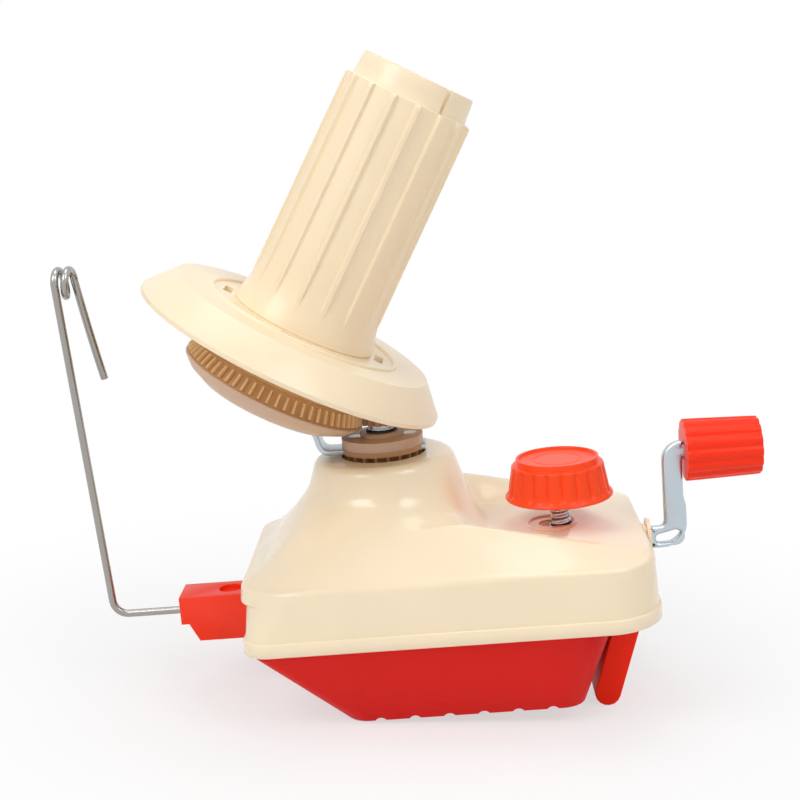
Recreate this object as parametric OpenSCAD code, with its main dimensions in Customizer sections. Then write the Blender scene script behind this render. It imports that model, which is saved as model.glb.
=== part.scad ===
/* [Casing] */
// Distance from the main axis to the casing's left end
casing_left = 54; // [52:1:60]
// Distance from the main axis to the casing's crank end
casing_right = 99.5; // [98.5:0.5:106]
// Half of the casing's depth
casing_half = 55; // [53:1:62]
// Height of the casing's lower edge
rim_z = 34; // [32:1:36]
// Height of the band that stands proud above the lower edge
rim_band_h = 6.8; // [4:0.2:9]
// How far the band stands proud of the wall
rim_proud = 0.9; // [0.4:0.1:1.6]
// Height of the upright wall's top edge
wall_top_z = 57; // [55:0.5:59]
// Height of the flat beside the clamp knob
flat_z = 64; // [63:0.5:67]
// Distance from the main axis to the flat's crank end
flat_right = 94; // [90:0.5:95.5]
// Half of the flat's depth
flat_half = 45; // [40:1:50]
// Height of the hump's top face
hump_z = 94; // [91:0.5:98]
// Radius of the hump's top face
hump_r = 25; // [23:0.5:28]
// Height of the hump's waist below its top face
waist_drop = 16; // [12:0.5:20]
// Waist reach to the left
waist_left = 31.5; // [30.5:0.5:36]
// Waist reach to the right
waist_right = 31.5; // [30.5:0.5:34]
// Waist half depth
waist_half = 38.5; // [36:0.5:46]
// Foot of the hump on the crank side
hump_foot = 35; // [34:0.5:42]
// Wall thickness of the casings
wall = 2.5; // [2:0.1:3]
// Corner radius at the left end
corner_left = 9; // [6:1:14]
// Corner radius at the crank end
corner_right = 27; // [20:1:34]
// Corner radius of the hump's foot at the left end
hump_corner = 22; // [14:1:26]

/* [Base] */
// Left end of the base's underside
foot_left = 20.5; // [18:0.5:26]
// Crank end of the base's underside
foot_right = 70; // [66:1:74]
// Half depth of the base's underside
foot_half = 38; // [36:1:42]
// Height where the base's sloping walls turn upright
base_shoulder_z = 32; // [28:0.5:33]
// How far the base reaches up inside the casing's rim
base_lap = 3; // [2:0.5:4]
// Crank end of the base
base_right = 83; // [80:1:86]
// Depth of the grooves across the underside
sole_groove = 1.2; // [0.6:0.1:1.8]
// Number of grooves across the underside
sole_grooves = 6; // [3:1:9]

/* [Drive] */
// Radius of the fixed main post
post_r = 3.5; // [3:0.1:4]
// Height of the crank axis
crank_z = 52; // [50:0.5:53]
// Radius of the crank shaft
shaft_r = 4; // [3.5:0.1:4]
// Module of the crown gear and carrier gear
drive_module = 1.4; // [1.3:0.02:1.45]
// Teeth of the carrier gear
carrier_teeth = 20; // [19:1:21]
// Teeth of the crown gear
crown_teeth = 42; // [40:1:44]
// Face width of the crown gear's teeth
crown_face = 4.4; // [3:0.2:5]
// Thickness of the crown gear's disc
crown_disc_t = 3; // [2:0.2:4]

/* [Carrier] */
// Radius of the carrier gear's flange
carrier_flange_r = 16; // [15.8:0.1:17]
// Thickness of the carrier gear's flange
carrier_flange_t = 1.7; // [1.2:0.1:2.2]
// Gap between the hump and the carrier gear's flange
carrier_gap = 1.6; // [1:0.1:3]
// Thickness of the carrier cap
cap_t = 3.9; // [3.2:0.1:4.4]
// Radius of the carrier cap
cap_r = 15.7; // [14.5:0.1:15.9]
// Hub height on the carrier cap
hub_t = 1.5; // [1:0.1:1.8]
// Hub radius on the carrier cap
hub_r = 8.5; // [7:0.1:9]
// Thickness of the bracket strip
strip_t = 2; // [1.5:0.1:2.4]
// Width of the bracket strip
strip_w = 11; // [9:0.5:12]
// Thickness of the black washer
washer_t = 0.8; // [0.5:0.1:1.1]
// Radius of the black washer
washer_r = 6; // [5:0.1:6.4]

/* [Bobbin] */
// Lean of the bobbin axis
bobbin_tilt = 30; // [29:0.25:31]
// Module of the bevel pair
bevel_module = 1.07; // [1.06:0.005:1.08]
// Teeth of the fixed sun pinion
sun_teeth = 13; // [13:1:13]
// Teeth of the bobbin gear
bobbin_teeth = 66; // [66:1:66]
// Face width of the bevel pair
bevel_face = 6; // [5:0.2:6.4]
// Radius of the gear cover's rim
cover_rim_r = 37; // [36.6:0.1:37.2]
// Radius of the gear cover's bottom
cover_foot_r = 28; // [24:0.5:29]
// Depth of the gear cover
cover_h = 7.3; // [6:0.1:7.6]
// Radius of the gear cover where its bottom turns up into its wall
cover_turn_r = 33.8; // [32.5:0.1:34]
// Radius of the flange plate
flange_r = 61.5; // [58:0.5:64]
// Radius where the flange plate's flat ring meets its skirt
flange_ring_r = 52; // [48:0.5:54]
// Height of the flange plate's skirt
skirt_h = 12; // [10:0.5:14]
// Wall thickness of the flange plate
flange_wall = 2.4; // [2:0.1:3]
// Distance from the flange's rim to the axes' crossing point
flange_drop = 64; // [63:0.5:65]
// Visible length of the winding tube
tube_len = 102.5; // [95:0.5:110]
// Radius over the tube's ribs at the collar
rib_top_r = 25.5; // [24:0.1:26.5]
// Radius over the tube's ribs at their lower ends
rib_foot_r = 26.3; // [25:0.1:27]
// Radius of the tube's foot
tube_foot_r = 28.5; // [27:0.1:30]
// How deep the tube's core lies under its ribs
rib_h = 1.5; // [0.8:0.1:2.2]
// Width of a rib
rib_w = 1.8; // [1.2:0.1:2.6]
// Number of ribs
rib_count = 16; // [12:1:20]
// Height of the tube's flared foot
tube_flare_h = 24; // [18:1:30]
// Height of the collar
collar_h = 9.2; // [8:0.1:12]
// Radius of the collar's lower edge
collar_foot_r = 22.8; // [22.4:0.1:23.4]
// Radius of the collar's top edge
collar_top_r = 21.8; // [21:0.1:22.4]
// Width of the yarn slit in the collar
slit_w = 2.2; // [1.2:0.1:4]
// Wall thickness of the tube
tube_wall = 2.2; // [1.8:0.1:2.6]
// Radius of the bobbin axle
axle_r = 4; // [3.5:0.1:4.4]

/* [Crank] */
// Distance from the crank axis to the grip axis
crank_throw = 34; // [30:0.5:40]
// Width of the crank arm seen from the front
arm_w = 7.8; // [7.4:0.1:8.6]
// Thickness of the crank arm from front to back
arm_t = 4; // [3.4:0.1:4.2]
// Rounding of the crank arm's lower outer corner
arm_round = 8.6; // [5:0.1:9]
// Rounding of the crank arm's upper corner
arm_top_round = 6.8; // [4:0.1:7.4]
// Height of the slot in the crank arm's lower leg
arm_slot = 4.3; // [3:0.1:4.6]
// Grip length
grip_len = 28.8; // [24:0.2:36]
// Grip radius at the arm end
grip_r = 12; // [10.5:0.1:14]
// Grip radius at the free end
grip_end_r = 11.2; // [9.5:0.1:13]
// Number of flutes on the grip
grip_flutes = 14; // [10:1:20]

/* [Clamp] */
// Distance from the main axis to the clamp screw
clamp_x = 66; // [64:0.5:68]
// How far the clamp screw stands in front of the crank axis
clamp_front = 10.6; // [10.4:0.1:11.5]
// Radius of the clamp screw
screw_r = 4; // [3.5:0.1:4.2]
// Height of the knob's lower edge above the flat
knob_lift = 10.5; // [8:0.5:14]
// Height of the knob
knob_h = 15.5; // [13:0.5:19]
// Radius of the knob's flared lower lip
knob_lip_r = 20.5; // [19.5:0.1:22]
// Radius of the knob's body above the lip
knob_body_r = 19.4; // [18.5:0.1:20]
// Radius of the knob's shoulder
knob_shoulder_r = 17.6; // [16.5:0.1:18.2]
// Radius of the knob's raised top ring
knob_ring_r = 15.8; // [14:0.1:16.4]
// Number of scallops round the knob
knob_scallops = 20; // [14:1:28]
// Width of the jaw
jaw_w = 18; // [15:0.5:18]
// Thickness of the jaw's finger
finger_t = 10; // [8:0.5:11]
// Lean of the jaw's finger
finger_lean = 18; // [14:0.5:21]
// How far the finger's tip hangs below the base
finger_drop = 8.5; // [5:0.5:14]
// Distance from the main axis to the finger's tip
finger_x = 79.5; // [78.5:0.25:80.5]
// Travel of the jaw
jaw_travel = 30; // [20:1:31]

/* [Guide] */
// Radius of the guide wire
wire_r = 1.5; // [1.3:0.05:1.7]
// Height of the wire's level leg
wire_z = 35.8; // [34.8:0.2:36.8]
// Distance from the main axis to the start of the wire's upright leg
wire_x = 112.5; // [106:0.5:116]
// Height of the wire's top
wire_top_z = 175; // [150:0.5:190]
// Lean of the wire's upright leg
wire_lean = 3.1; // [1:0.1:7]
// Bend radius of the wire's top at its centre line
hook_r = 2.6; // [2.4:0.1:4]
// Length of the wire's free leg
hook_leg = 40; // [25:0.5:50]
// Lean of the wire's free leg
hook_lean = 10; // [4:0.5:18]
// Length of the guide holder
holder_len = 30.5; // [24:0.5:34]
// Height of the guide holder
holder_h = 18; // [17.6:0.1:19]
// Depth of the guide holder
holder_w = 17; // [13:0.5:22]

/* [Hidden] */
$fn = 64;

// Colours
cream = [0.98, 0.91, 0.78];
red = [0.86, 0.19, 0.12];
tan_plastic = [0.72, 0.59, 0.49];
ochre = [0.71, 0.52, 0.35];
steel = [0.72, 0.76, 0.8];
black = [0.08, 0.08, 0.08];

// Named clearances
run_gap = 0.05;
seat_gap = 0.02;
side_gap = 0.6;
end_gap = 0.4;
lap_gap = 0.35;
sliver = 0.1;
overlap = 0.5;

// Casing heights and corners
draft_in = 1.1;
rim_r_step = 2;
base_top_z = rim_z + base_lap;
floor_t = 3;
waist_corner = 20;
hump_edge = 3;
waist_z = hump_z - waist_drop;
top_hole_r = carrier_flange_r + 0.3;

// Casing screws
column_r = 5;
column_x = [-12, clamp_x - 17];
column_y = [hump_r - 3, flat_half - 19];
column_top = [hump_z - 5.5, flat_z - 2];
casing_screw_r = 1.5;
casing_head_r = 3;
casing_head_h = 2.4;
casing_grip = 12;

// Main post and carrier stack, from the bottom up
post_boss_r = 8;
post_boss_z = 26;
post_seat_z = floor_t + 1;
nut_r = 6.5;
nut_h = 4.5;
spacer_z = post_boss_z + nut_h;
spacer_r = 5.5;
crown_pitch_r = crown_teeth * drive_module / 2;
carrier_pitch_r = carrier_teeth * drive_module / 2;
carrier_tip_r = carrier_pitch_r + 0.72 * drive_module;
carrier_root_r = carrier_pitch_r - 1.14 * drive_module;
carrier_gear_z = crank_z + crown_pitch_r - crown_face;
carrier_flange_z = hump_z + carrier_gap;
cap_z = carrier_flange_z + carrier_flange_t;
strip_z = cap_z - strip_t;
hub_z = cap_z + cap_t;
washer_z = hub_z + hub_t;
sun_collar_z = washer_z + washer_t;
sun_collar_h = 2.1;
sun_z = sun_collar_z + sun_collar_h;
sun_mid_z = sun_z + bevel_face / 2;
post_top_z = sun_z + bevel_face + 1.4;

// Bevel pair on one apex, where the bobbin axis crosses the main axis
bobbin_cone = atan2(sin(bobbin_tilt), sun_teeth / bobbin_teeth + cos(bobbin_tilt));
sun_cone = bobbin_tilt - bobbin_cone;
sun_pitch_r = sun_teeth * bevel_module / 2;
bobbin_pitch_r = bobbin_teeth * bevel_module / 2;
cone_len = bobbin_pitch_r / sin(bobbin_cone);
gear_drop = cone_len * cos(bobbin_cone);
apex_z = sun_mid_z + cone_len * cos(sun_cone);
bevel_add = 0.56 * bevel_module;
bevel_ded = 0.9 * bevel_module;

// Bobbin heights along its own axis, measured from the apex
gear_low = -gear_drop - bevel_face / 2;
gear_high = -gear_drop + bevel_face / 2;
cover_low = gear_low - cover_h;
bracket_high = cover_low - 1.5;
bracket_low = bracket_high - strip_t;
web_high = -flange_drop + skirt_h;
web_low = web_high - flange_wall;
tube_high = web_high + tube_len;
tube_floor = web_high + 3;
bush_r = axle_r + 3;
bush_high = tube_floor + 5;
axle_high = bush_high + 7;
gear_hub_r = 14;
bobbin_screw_ring = 10.6;
bobbin_screw_r = 1.4;
bobbin_head_r = 2.5;
bobbin_head_z = gear_high + 2;

// Crank places along X
crown_tip_x = carrier_pitch_r - 0.86 * drive_module;
crown_face_x = carrier_pitch_r + 1.0 * drive_module;
crown_tooth_w = 0.97 * drive_module;
crown_out_r = crown_pitch_r + crown_face / 2;
crown_in_r = crown_pitch_r - crown_face / 2;
crown_hub_r = shaft_r + 5;
crown_hub_x = crown_face_x + crown_disc_t + 9;
crown_pin_x = crown_hub_x - 4.5;
crown_pin_r = 1.2;
pillar_x = [hump_foot + 7, hump_foot + 15];
pillar_half = 8;
bush_wall = 1.5;
end_wall_x = casing_right - draft_in;
bush_flange_t = 1.4;
bush_flange_r = shaft_r + bush_wall + 2;
shaft_end_x = end_wall_x + draft_in + bush_flange_t;
arm_start_x = shaft_end_x + end_gap;
arm_x = arm_start_x + 5.4;
arm_right_x = arm_x + arm_w;
arm_leg_half = 0.55 * arm_w;
arm_tongue_x = shaft_end_x - 9;
grip_z = crank_z + crank_throw;
grip_x = arm_right_x + end_gap;
grip_pin_r = 3.2;
grip_head_r = 5;
grip_head_t = 2;
grip_tongue_len = 9;
// Half height of a tongue that fills a round fork of the given radius
function tongue_half_in(r) = sqrt(pow(r, 2) - pow(arm_t / 2, 2)) - seat_gap;

// Clamp heights
plate_high = crank_z - shaft_r - 2;
plate_t = 8;
plate_low = plate_high - plate_t;
clamp_nut_h = 5;
clamp_nut_r = 7;
bush_seat_z = flat_z - 4;
clamp_flange_t = 1.2;
clamp_flange_r = screw_r + 2.7;
clamp_boss_r = clamp_flange_r + 1.8;
clamp_boss_z = crank_z + shaft_r + 1;
ring_rim_h = 0.8;
collar_t = 2;
collar_z = bush_seat_z + clamp_flange_t;
knob_z = flat_z + knob_lift;
screw_low = plate_low - jaw_travel - 3.5;
tip_z = -finger_drop + finger_t / 2;
jaw_right_x = casing_right - wall - 2 * draft_in - side_gap;

// Guide wire
wire_bend = 6;
wire_neck = 0.05;
wire_lap = 0.3;
holder_left = casing_left + holder_len;
holder_low = wire_z - 0.58 * holder_h;
holder_step_z = holder_low + 0.5 * holder_h - wire_r - 0.4;
tongue_len = 8;
tongue_half = 6;
tongue_h = 5.4;
tongue_z = base_top_z + 1.2;
leg_end_x = -wire_x + wire_bend * cos(wire_lean);
riser_foot_z = wire_z + wire_bend * (1 - sin(wire_lean));
hook_z = wire_top_z - hook_r - wire_r;
riser_top_z = hook_z - hook_r * sin(wire_lean);
riser_top_x = -wire_x - (riser_top_z - riser_foot_z) * tan(wire_lean);
hook_x = riser_top_x + hook_r * cos(wire_lean);

// Four upright discs at the corners of a rounded plan outline, from height z upwards
module plan(z, left, right, half, r_left, r_right, h = sliver) {
    for (side = [-1, 1]) {
        translate([-left + r_left, side * (half - r_left), z]) cylinder(h = h, r = r_left, $fn = 32);
        translate([right - r_right, side * (half - r_right), z]) cylinder(h = h, r = r_right, $fn = 32);
    }
}

// Plan outlines of the casing at its heights, drawn in by the given inset
module edge_plan(z, inset, h = sliver) {
    plan(z, casing_left - inset, casing_right - inset, casing_half - inset,
         corner_left - inset, corner_right - inset, h);
}
module flat_plan(z, inset) {
    plan(z, waist_left - inset, flat_right - inset, flat_half - inset,
         corner_left - inset, waist_corner - inset);
}
module foot_plan(z, inset) {
    plan(z, casing_left - inset, hump_foot - inset, casing_half - inset,
         hump_corner - inset, waist_corner - inset);
}
module waist_plan(z, inset) {
    plan(z, waist_left - inset, waist_right - inset, waist_half - inset,
         waist_corner - inset, waist_corner - inset);
}
module top_plan(z, r) {
    plan(z, r, r, r, r, r);
}

// Solid form of the casing, drawn in by the given inset, from height low upwards
module casing_form(inset, low) {
    hull() {
        edge_plan(low, inset);
        edge_plan(wall_top_z - inset - sliver, inset + draft_in);
        flat_plan(flat_z - inset - sliver, inset);
    }
    hull() {
        foot_plan(wall_top_z - inset - sliver, inset + draft_in);
        waist_plan(waist_z - inset, inset);
    }
    hull() {
        waist_plan(waist_z - inset, inset);
        top_plan(hump_z - hump_edge - inset, hump_r + hump_edge - inset);
        top_plan(hump_z - inset - sliver, hump_r - inset);
    }
}

// Outline of a gear with straight flanks, as a flat polygon
module gear_outline(teeth, root_r, tip_r, root_w, tip_w, turn) {
    polygon([
        for (i = [0:teeth - 1])
            for (corner = [[root_r, -root_w], [tip_r, -tip_w], [tip_r, tip_w], [root_r, root_w]])
                let (a = turn + i * 360 / teeth + asin(corner[1] / 2 / corner[0]))
                    corner[0] * [cos(a), sin(a)]
    ]);
}

// Bobbin frame: the apex is its origin and the bobbin axis its Z axis
module on_bobbin(z) {
    translate([0, 0, apex_z]) rotate([0, bobbin_tilt, 0]) translate([0, 0, z]) children();
}

// Cylinder along +X from x0 to x1 at height z
module along_x(x0, x1, r, y, z) {
    translate([x0, y, z]) rotate([0, 90, 0]) cylinder(h = x1 - x0, r = r);
}

// Flat outline in the XZ plane, spread evenly over a width in Y
module across_y(width) {
    translate([0, width / 2, 0]) rotate([90, 0, 0]) linear_extrude(width) children();
}

module upper_casing() color(cream) {
    difference() {
        union() {
            casing_form(0, rim_z);
            hull() edge_plan(rim_z, -rim_proud, rim_band_h);
            translate([clamp_x, -clamp_front, flat_z - overlap])
                cylinder(h = overlap + ring_rim_h, r = clamp_boss_r);
        }
        casing_form(wall, rim_z - sliver * 2);
        translate([0, 0, waist_z]) cylinder(h = waist_drop * 2, r = top_hole_r);
        along_x(end_wall_x - 2 * wall, casing_right + overlap, shaft_r + bush_wall + seat_gap, 0, crank_z);
        translate([clamp_x, -clamp_front, bush_seat_z])
            cylinder(h = knob_lift, r = clamp_flange_r + seat_gap);
        translate([-casing_left - 2 * wall, -tongue_half - seat_gap, tongue_z - seat_gap])
            cube([4 * wall, 2 * (tongue_half + seat_gap), tongue_h + 2 * seat_gap]);
    }
    difference() {
        translate([clamp_x, -clamp_front, clamp_boss_z])
            cylinder(h = flat_z - overlap - clamp_boss_z, r = clamp_boss_r);
        translate([clamp_x, -clamp_front, bush_seat_z])
            cylinder(h = knob_lift, r = clamp_flange_r + seat_gap);
        translate([clamp_x, -clamp_front, 0]) cylinder(h = flat_z, r = screw_r + bush_wall + seat_gap);
    }
    for (i = [0, 1], side = [-1, 1]) translate([column_x[i], side * column_y[i], base_top_z]) difference() {
        cylinder(h = column_top[i] - base_top_z, r = column_r);
        translate([0, 0, -overlap]) cylinder(h = casing_grip + 2 * overlap, r = casing_screw_r + seat_gap);
    }
}

// Solid form of the base, drawn in by the given inset
module base_form(inset, low, high) {
    hull() {
        plan(low, foot_left - inset, foot_right - inset, foot_half - inset,
             corner_left - inset, corner_left - inset);
        plan(base_shoulder_z, casing_left - wall - lap_gap - inset, base_right - inset,
             casing_half - wall - lap_gap - inset, corner_left - wall - inset, corner_right - wall - inset,
             high - base_shoulder_z);
    }
}

module lower_casing() color(red) difference() {
    union() {
        difference() {
            base_form(0, 0, base_top_z);
            base_form(wall, floor_t, base_top_z + overlap);
        }
        cylinder(h = post_boss_z, r = post_boss_r);
        for (i = [0, 1], side = [-1, 1])
            translate([column_x[i], side * column_y[i], 0]) cylinder(h = base_top_z, r = column_r);
        translate([pillar_x[0], -pillar_half, floor_t - overlap])
            cube([pillar_x[1] - pillar_x[0], 2 * pillar_half, crank_z + pillar_half - floor_t]);
    }
    translate([0, 0, post_seat_z]) cylinder(h = post_boss_z, r = post_r + seat_gap);
    for (i = [0, 1], side = [-1, 1]) translate([column_x[i], side * column_y[i], -overlap]) {
        cylinder(h = base_top_z + 2 * overlap, r = casing_screw_r + seat_gap);
        cylinder(h = overlap + 2 * casing_head_h, r = casing_head_r + seat_gap);
    }
    along_x(pillar_x[0] - overlap, pillar_x[1] + overlap, shaft_r + bush_wall + seat_gap, 0, crank_z);
    translate([clamp_x - plate_t - side_gap * 2, -clamp_front - jaw_w / 2 - side_gap, floor_t])
        cube([base_right, jaw_w + 2 * side_gap, base_top_z + overlap]);
    for (i = [1:sole_grooves])
        translate([-foot_left + i * (foot_left + foot_right) / (sole_grooves + 1), casing_half, -sole_groove])
            rotate([90, 0, 0]) cylinder(h = 2 * casing_half, r = 2 * sole_groove);
}

module casing_screws() color(steel)
    for (i = [0, 1], side = [-1, 1]) translate([column_x[i], side * column_y[i], casing_head_h]) {
        translate([0, 0, -overlap]) cylinder(h = casing_head_h - overlap + sliver, r = casing_head_r - sliver);
        cylinder(h = base_top_z + casing_grip - casing_head_h, r = casing_screw_r);
    }

module main_post() color(steel) translate([0, 0, post_seat_z])
    cylinder(h = post_top_z - post_seat_z, r = post_r);

module post_nut() color(steel) difference() {
    translate([0, 0, post_boss_z]) cylinder(h = nut_h, r = nut_r, $fn = 6);
    cylinder(h = spacer_z + overlap, r = post_r + seat_gap);
}

module post_spacer() color(steel) difference() {
    translate([0, 0, spacer_z]) cylinder(h = carrier_gear_z - spacer_z, r = spacer_r);
    cylinder(h = carrier_gear_z + overlap, r = post_r + seat_gap);
}

module sun_pinion() color(ochre) difference() {
    union() {
        translate([0, 0, sun_collar_z]) cylinder(h = sun_collar_h, r = sun_pitch_r - 2.4);
        translate([0, 0, sun_z]) linear_extrude(bevel_face)
            gear_outline(sun_teeth, sun_pitch_r - bevel_ded, sun_pitch_r + bevel_add,
                         1.6 * bevel_module, 0.65 * bevel_module, 180);
    }
    cylinder(h = post_top_z + overlap, r = post_r + seat_gap);
}

module retaining_washer() color(black) translate([0, 0, washer_z]) difference() {
    cylinder(h = washer_t, r = washer_r);
    translate([0, 0, -overlap]) cylinder(h = washer_t + 2 * overlap, r = post_r + seat_gap);
}

module crank_bush_outer() color(cream) difference() {
    union() {
        along_x(end_wall_x - wall - 3, end_wall_x, shaft_r + bush_wall, 0, crank_z);
        along_x(end_wall_x + draft_in, end_wall_x + draft_in + bush_flange_t, bush_flange_r, 0, crank_z);
        along_x(end_wall_x - overlap, end_wall_x + draft_in + overlap, shaft_r + bush_wall, 0, crank_z);
    }
    along_x(end_wall_x - 4 * wall, casing_right + 4 * wall, shaft_r + run_gap, 0, crank_z);
}

module crank_bush_inner() color(ochre) difference() {
    along_x(pillar_x[0] - 1, pillar_x[1] + 1, shaft_r + bush_wall, 0, crank_z);
    along_x(pillar_x[0] - 2, pillar_x[1] + 2, shaft_r + run_gap, 0, crank_z);
}

module clamp_bush() color(ochre) translate([clamp_x, -clamp_front, 0]) difference() {
    union() {
        translate([0, 0, bush_seat_z]) cylinder(h = clamp_flange_t, r = clamp_flange_r);
        translate([0, 0, clamp_boss_z]) cylinder(h = bush_seat_z - clamp_boss_z + overlap, r = screw_r + bush_wall);
    }
    cylinder(h = flat_z, r = screw_r + run_gap);
}

module guide_holder() color(red) difference() {
    union() {
        across_y(holder_w) polygon([
            [-casing_left - rim_proud, holder_low], [-casing_left - rim_proud, holder_low + holder_h],
            [-holder_left, holder_low + holder_h], [-holder_left, holder_step_z],
            [-holder_left + 0.1 * holder_len, holder_step_z],
            [-holder_left + 0.22 * holder_len, holder_low]
        ]);
        translate([-casing_left - rim_proud - overlap, -tongue_half, tongue_z])
            cube([tongue_len, 2 * tongue_half, tongue_h]);
    }
    along_x(-holder_left - overlap, -casing_left - 4, wire_r + run_gap, 0, wire_z);
    translate([-casing_left - 0.36 * holder_len, 0, holder_low + holder_h - 1.6])
        cylinder(h = 1.6 + overlap, r = 0.27 * holder_w);
}

// Arc of wire in the XZ plane between two angles about a centre
module wire_arc(x, z, r, from, to) {
    translate([x, 0, z]) rotate([90, 0, 0]) rotate([0, 0, from])
        rotate_extrude(angle = to - from) translate([r, 0]) circle(wire_r - wire_neck, $fn = 24);
}

module yarn_guide_wire() color(steel) {
    along_x(leg_end_x - wire_lap, -casing_left - 4 - overlap, wire_r, 0, wire_z);
    wire_arc(leg_end_x, wire_z + wire_bend, wire_bend, 180 + wire_lean, 270);
    translate([-wire_x, 0, riser_foot_z]) rotate([0, -wire_lean, 0]) translate([0, 0, -wire_lap])
        cylinder(h = (riser_top_z - riser_foot_z) / cos(wire_lean) + 2 * wire_lap, r = wire_r, $fn = 24);
    wire_arc(hook_x, hook_z, hook_r, hook_lean, 180 + wire_lean);
    translate([hook_x + hook_r * cos(hook_lean), 0, hook_z + hook_r * sin(hook_lean)])
        rotate([0, 180 - hook_lean, 0]) translate([0, 0, -wire_lap])
            cylinder(h = hook_leg + wire_lap, r = wire_r, $fn = 24);
}

// Two holes through the strip, cap and flange for the carrier screws
carrier_screw_x = cap_r - 5.2;
carrier_screw_r = 1.5;
carrier_head_r = 2.6;
carrier_head_h = 1.2;
carrier_screw_low = carrier_flange_z - 6;

module carrier_screw_holes(gap) {
    for (side = [-1, 1]) translate([side * carrier_screw_x, 0, carrier_screw_low])
        cylinder(h = cap_z + cap_t, r = carrier_screw_r + gap);
}

module carrier_gear() color(ochre) difference() {
    union() {
        translate([0, 0, carrier_gear_z]) linear_extrude(carrier_flange_z - carrier_gear_z)
            gear_outline(carrier_teeth, carrier_root_r, carrier_tip_r,
                         1.6 * drive_module, 0.62 * drive_module, 180 / carrier_teeth);
        translate([0, 0, carrier_flange_z]) cylinder(h = carrier_flange_t, r = carrier_flange_r);
    }
    cylinder(h = post_top_z, r = post_r + run_gap);
    translate([-2 * cap_r, -strip_w / 2 - seat_gap, strip_z - seat_gap])
        cube([4 * cap_r, strip_w + 2 * seat_gap, strip_t + overlap]);
    carrier_screw_holes(seat_gap);
}

module carrier_cap() color(tan_plastic) difference() {
    union() {
        translate([0, 0, cap_z]) cylinder(h = cap_t, r = cap_r);
        translate([0, 0, hub_z]) cylinder(h = hub_t, r = hub_r);
    }
    cylinder(h = post_top_z, r = post_r + 8 * run_gap);
    carrier_screw_holes(seat_gap);
    for (side = [-1, 1]) translate([side * carrier_screw_x, 0, hub_z - carrier_head_h])
        cylinder(h = carrier_head_h + hub_t, r = carrier_head_r + seat_gap);
}

// Bracket strip: level leg under the cap, a leaning riser, then a plate square to the bobbin axis
strip_tail = 0.9;
riser_lean = 14;
strip_bend_x = -cap_r - 8.6;
plate_reach = 9;
// Point where the bobbin axis meets a plane square to it at the given distance along it
function axis_at(z) = [z * sin(bobbin_tilt), apex_z + z * cos(bobbin_tilt)];
plate_mid_low = axis_at(bracket_low);
plate_mid_high = axis_at(bracket_high);
along_plate = [-cos(bobbin_tilt), sin(bobbin_tilt)];
// Meeting point of the riser's face, starting at point p, with the plate's face through point q
function riser_meets(p, q) =
    let (
        d = [-sin(riser_lean), cos(riser_lean)],
        cross = d[0] * along_plate[1] - d[1] * along_plate[0],
        s = ((q[0] - p[0]) * along_plate[1] - (q[1] - p[1]) * along_plate[0]) / cross
    ) p + s * d;
riser_out = [strip_bend_x, strip_z];
riser_in = [strip_bend_x + strip_t / cos(riser_lean) - strip_t * tan(riser_lean), cap_z];

module bobbin_bracket() color(steel) difference() {
    across_y(strip_w) polygon([
        [cap_r + strip_tail, strip_z], riser_out, riser_meets(riser_out, plate_mid_low),
        plate_mid_low + plate_reach * along_plate, plate_mid_high + plate_reach * along_plate,
        riser_meets(riser_in, plate_mid_high), riser_in, [cap_r + strip_tail, cap_z]
    ]);
    cylinder(h = post_top_z, r = post_r + 8 * run_gap);
    carrier_screw_holes(seat_gap);
    on_bobbin(bracket_low - overlap) cylinder(h = strip_t + 2 * overlap, r = axle_r + seat_gap);
}

module carrier_screws() color(steel) for (side = [-1, 1]) translate([side * carrier_screw_x, 0, 0]) {
    translate([0, 0, carrier_screw_low + overlap])
        cylinder(h = hub_z - carrier_screw_low - overlap, r = carrier_screw_r);
    translate([0, 0, hub_z - carrier_head_h]) cylinder(h = carrier_head_h, r = carrier_head_r);
}

module bobbin_axle() color(steel) {
    on_bobbin(bracket_low) cylinder(h = axle_high - bracket_low, r = axle_r);
    on_bobbin(bracket_low - 2) cylinder(h = 2, r = axle_r + 2.2);
}

module axle_washer() color(steel) on_bobbin(bracket_high) difference() {
    cylinder(h = 1.2, r = bush_r + 1);
    translate([0, 0, -overlap]) cylinder(h = 1.2 + 2 * overlap, r = axle_r + seat_gap);
}

module axle_nut() color(steel) on_bobbin(bush_high + 0.3) difference() {
    cylinder(h = 4.5, r = bush_r, $fn = 6);
    translate([0, 0, -overlap]) cylinder(h = 4.5 + 2 * overlap, r = axle_r + seat_gap);
}

// Holes for the screws that join gear, flange and tube
module bobbin_screw_ring(low, high, r) {
    for (i = [0:2]) rotate([0, 0, 60 + i * 120]) translate([bobbin_screw_ring, 0, low])
        cylinder(h = high - low, r = r);
}

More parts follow.
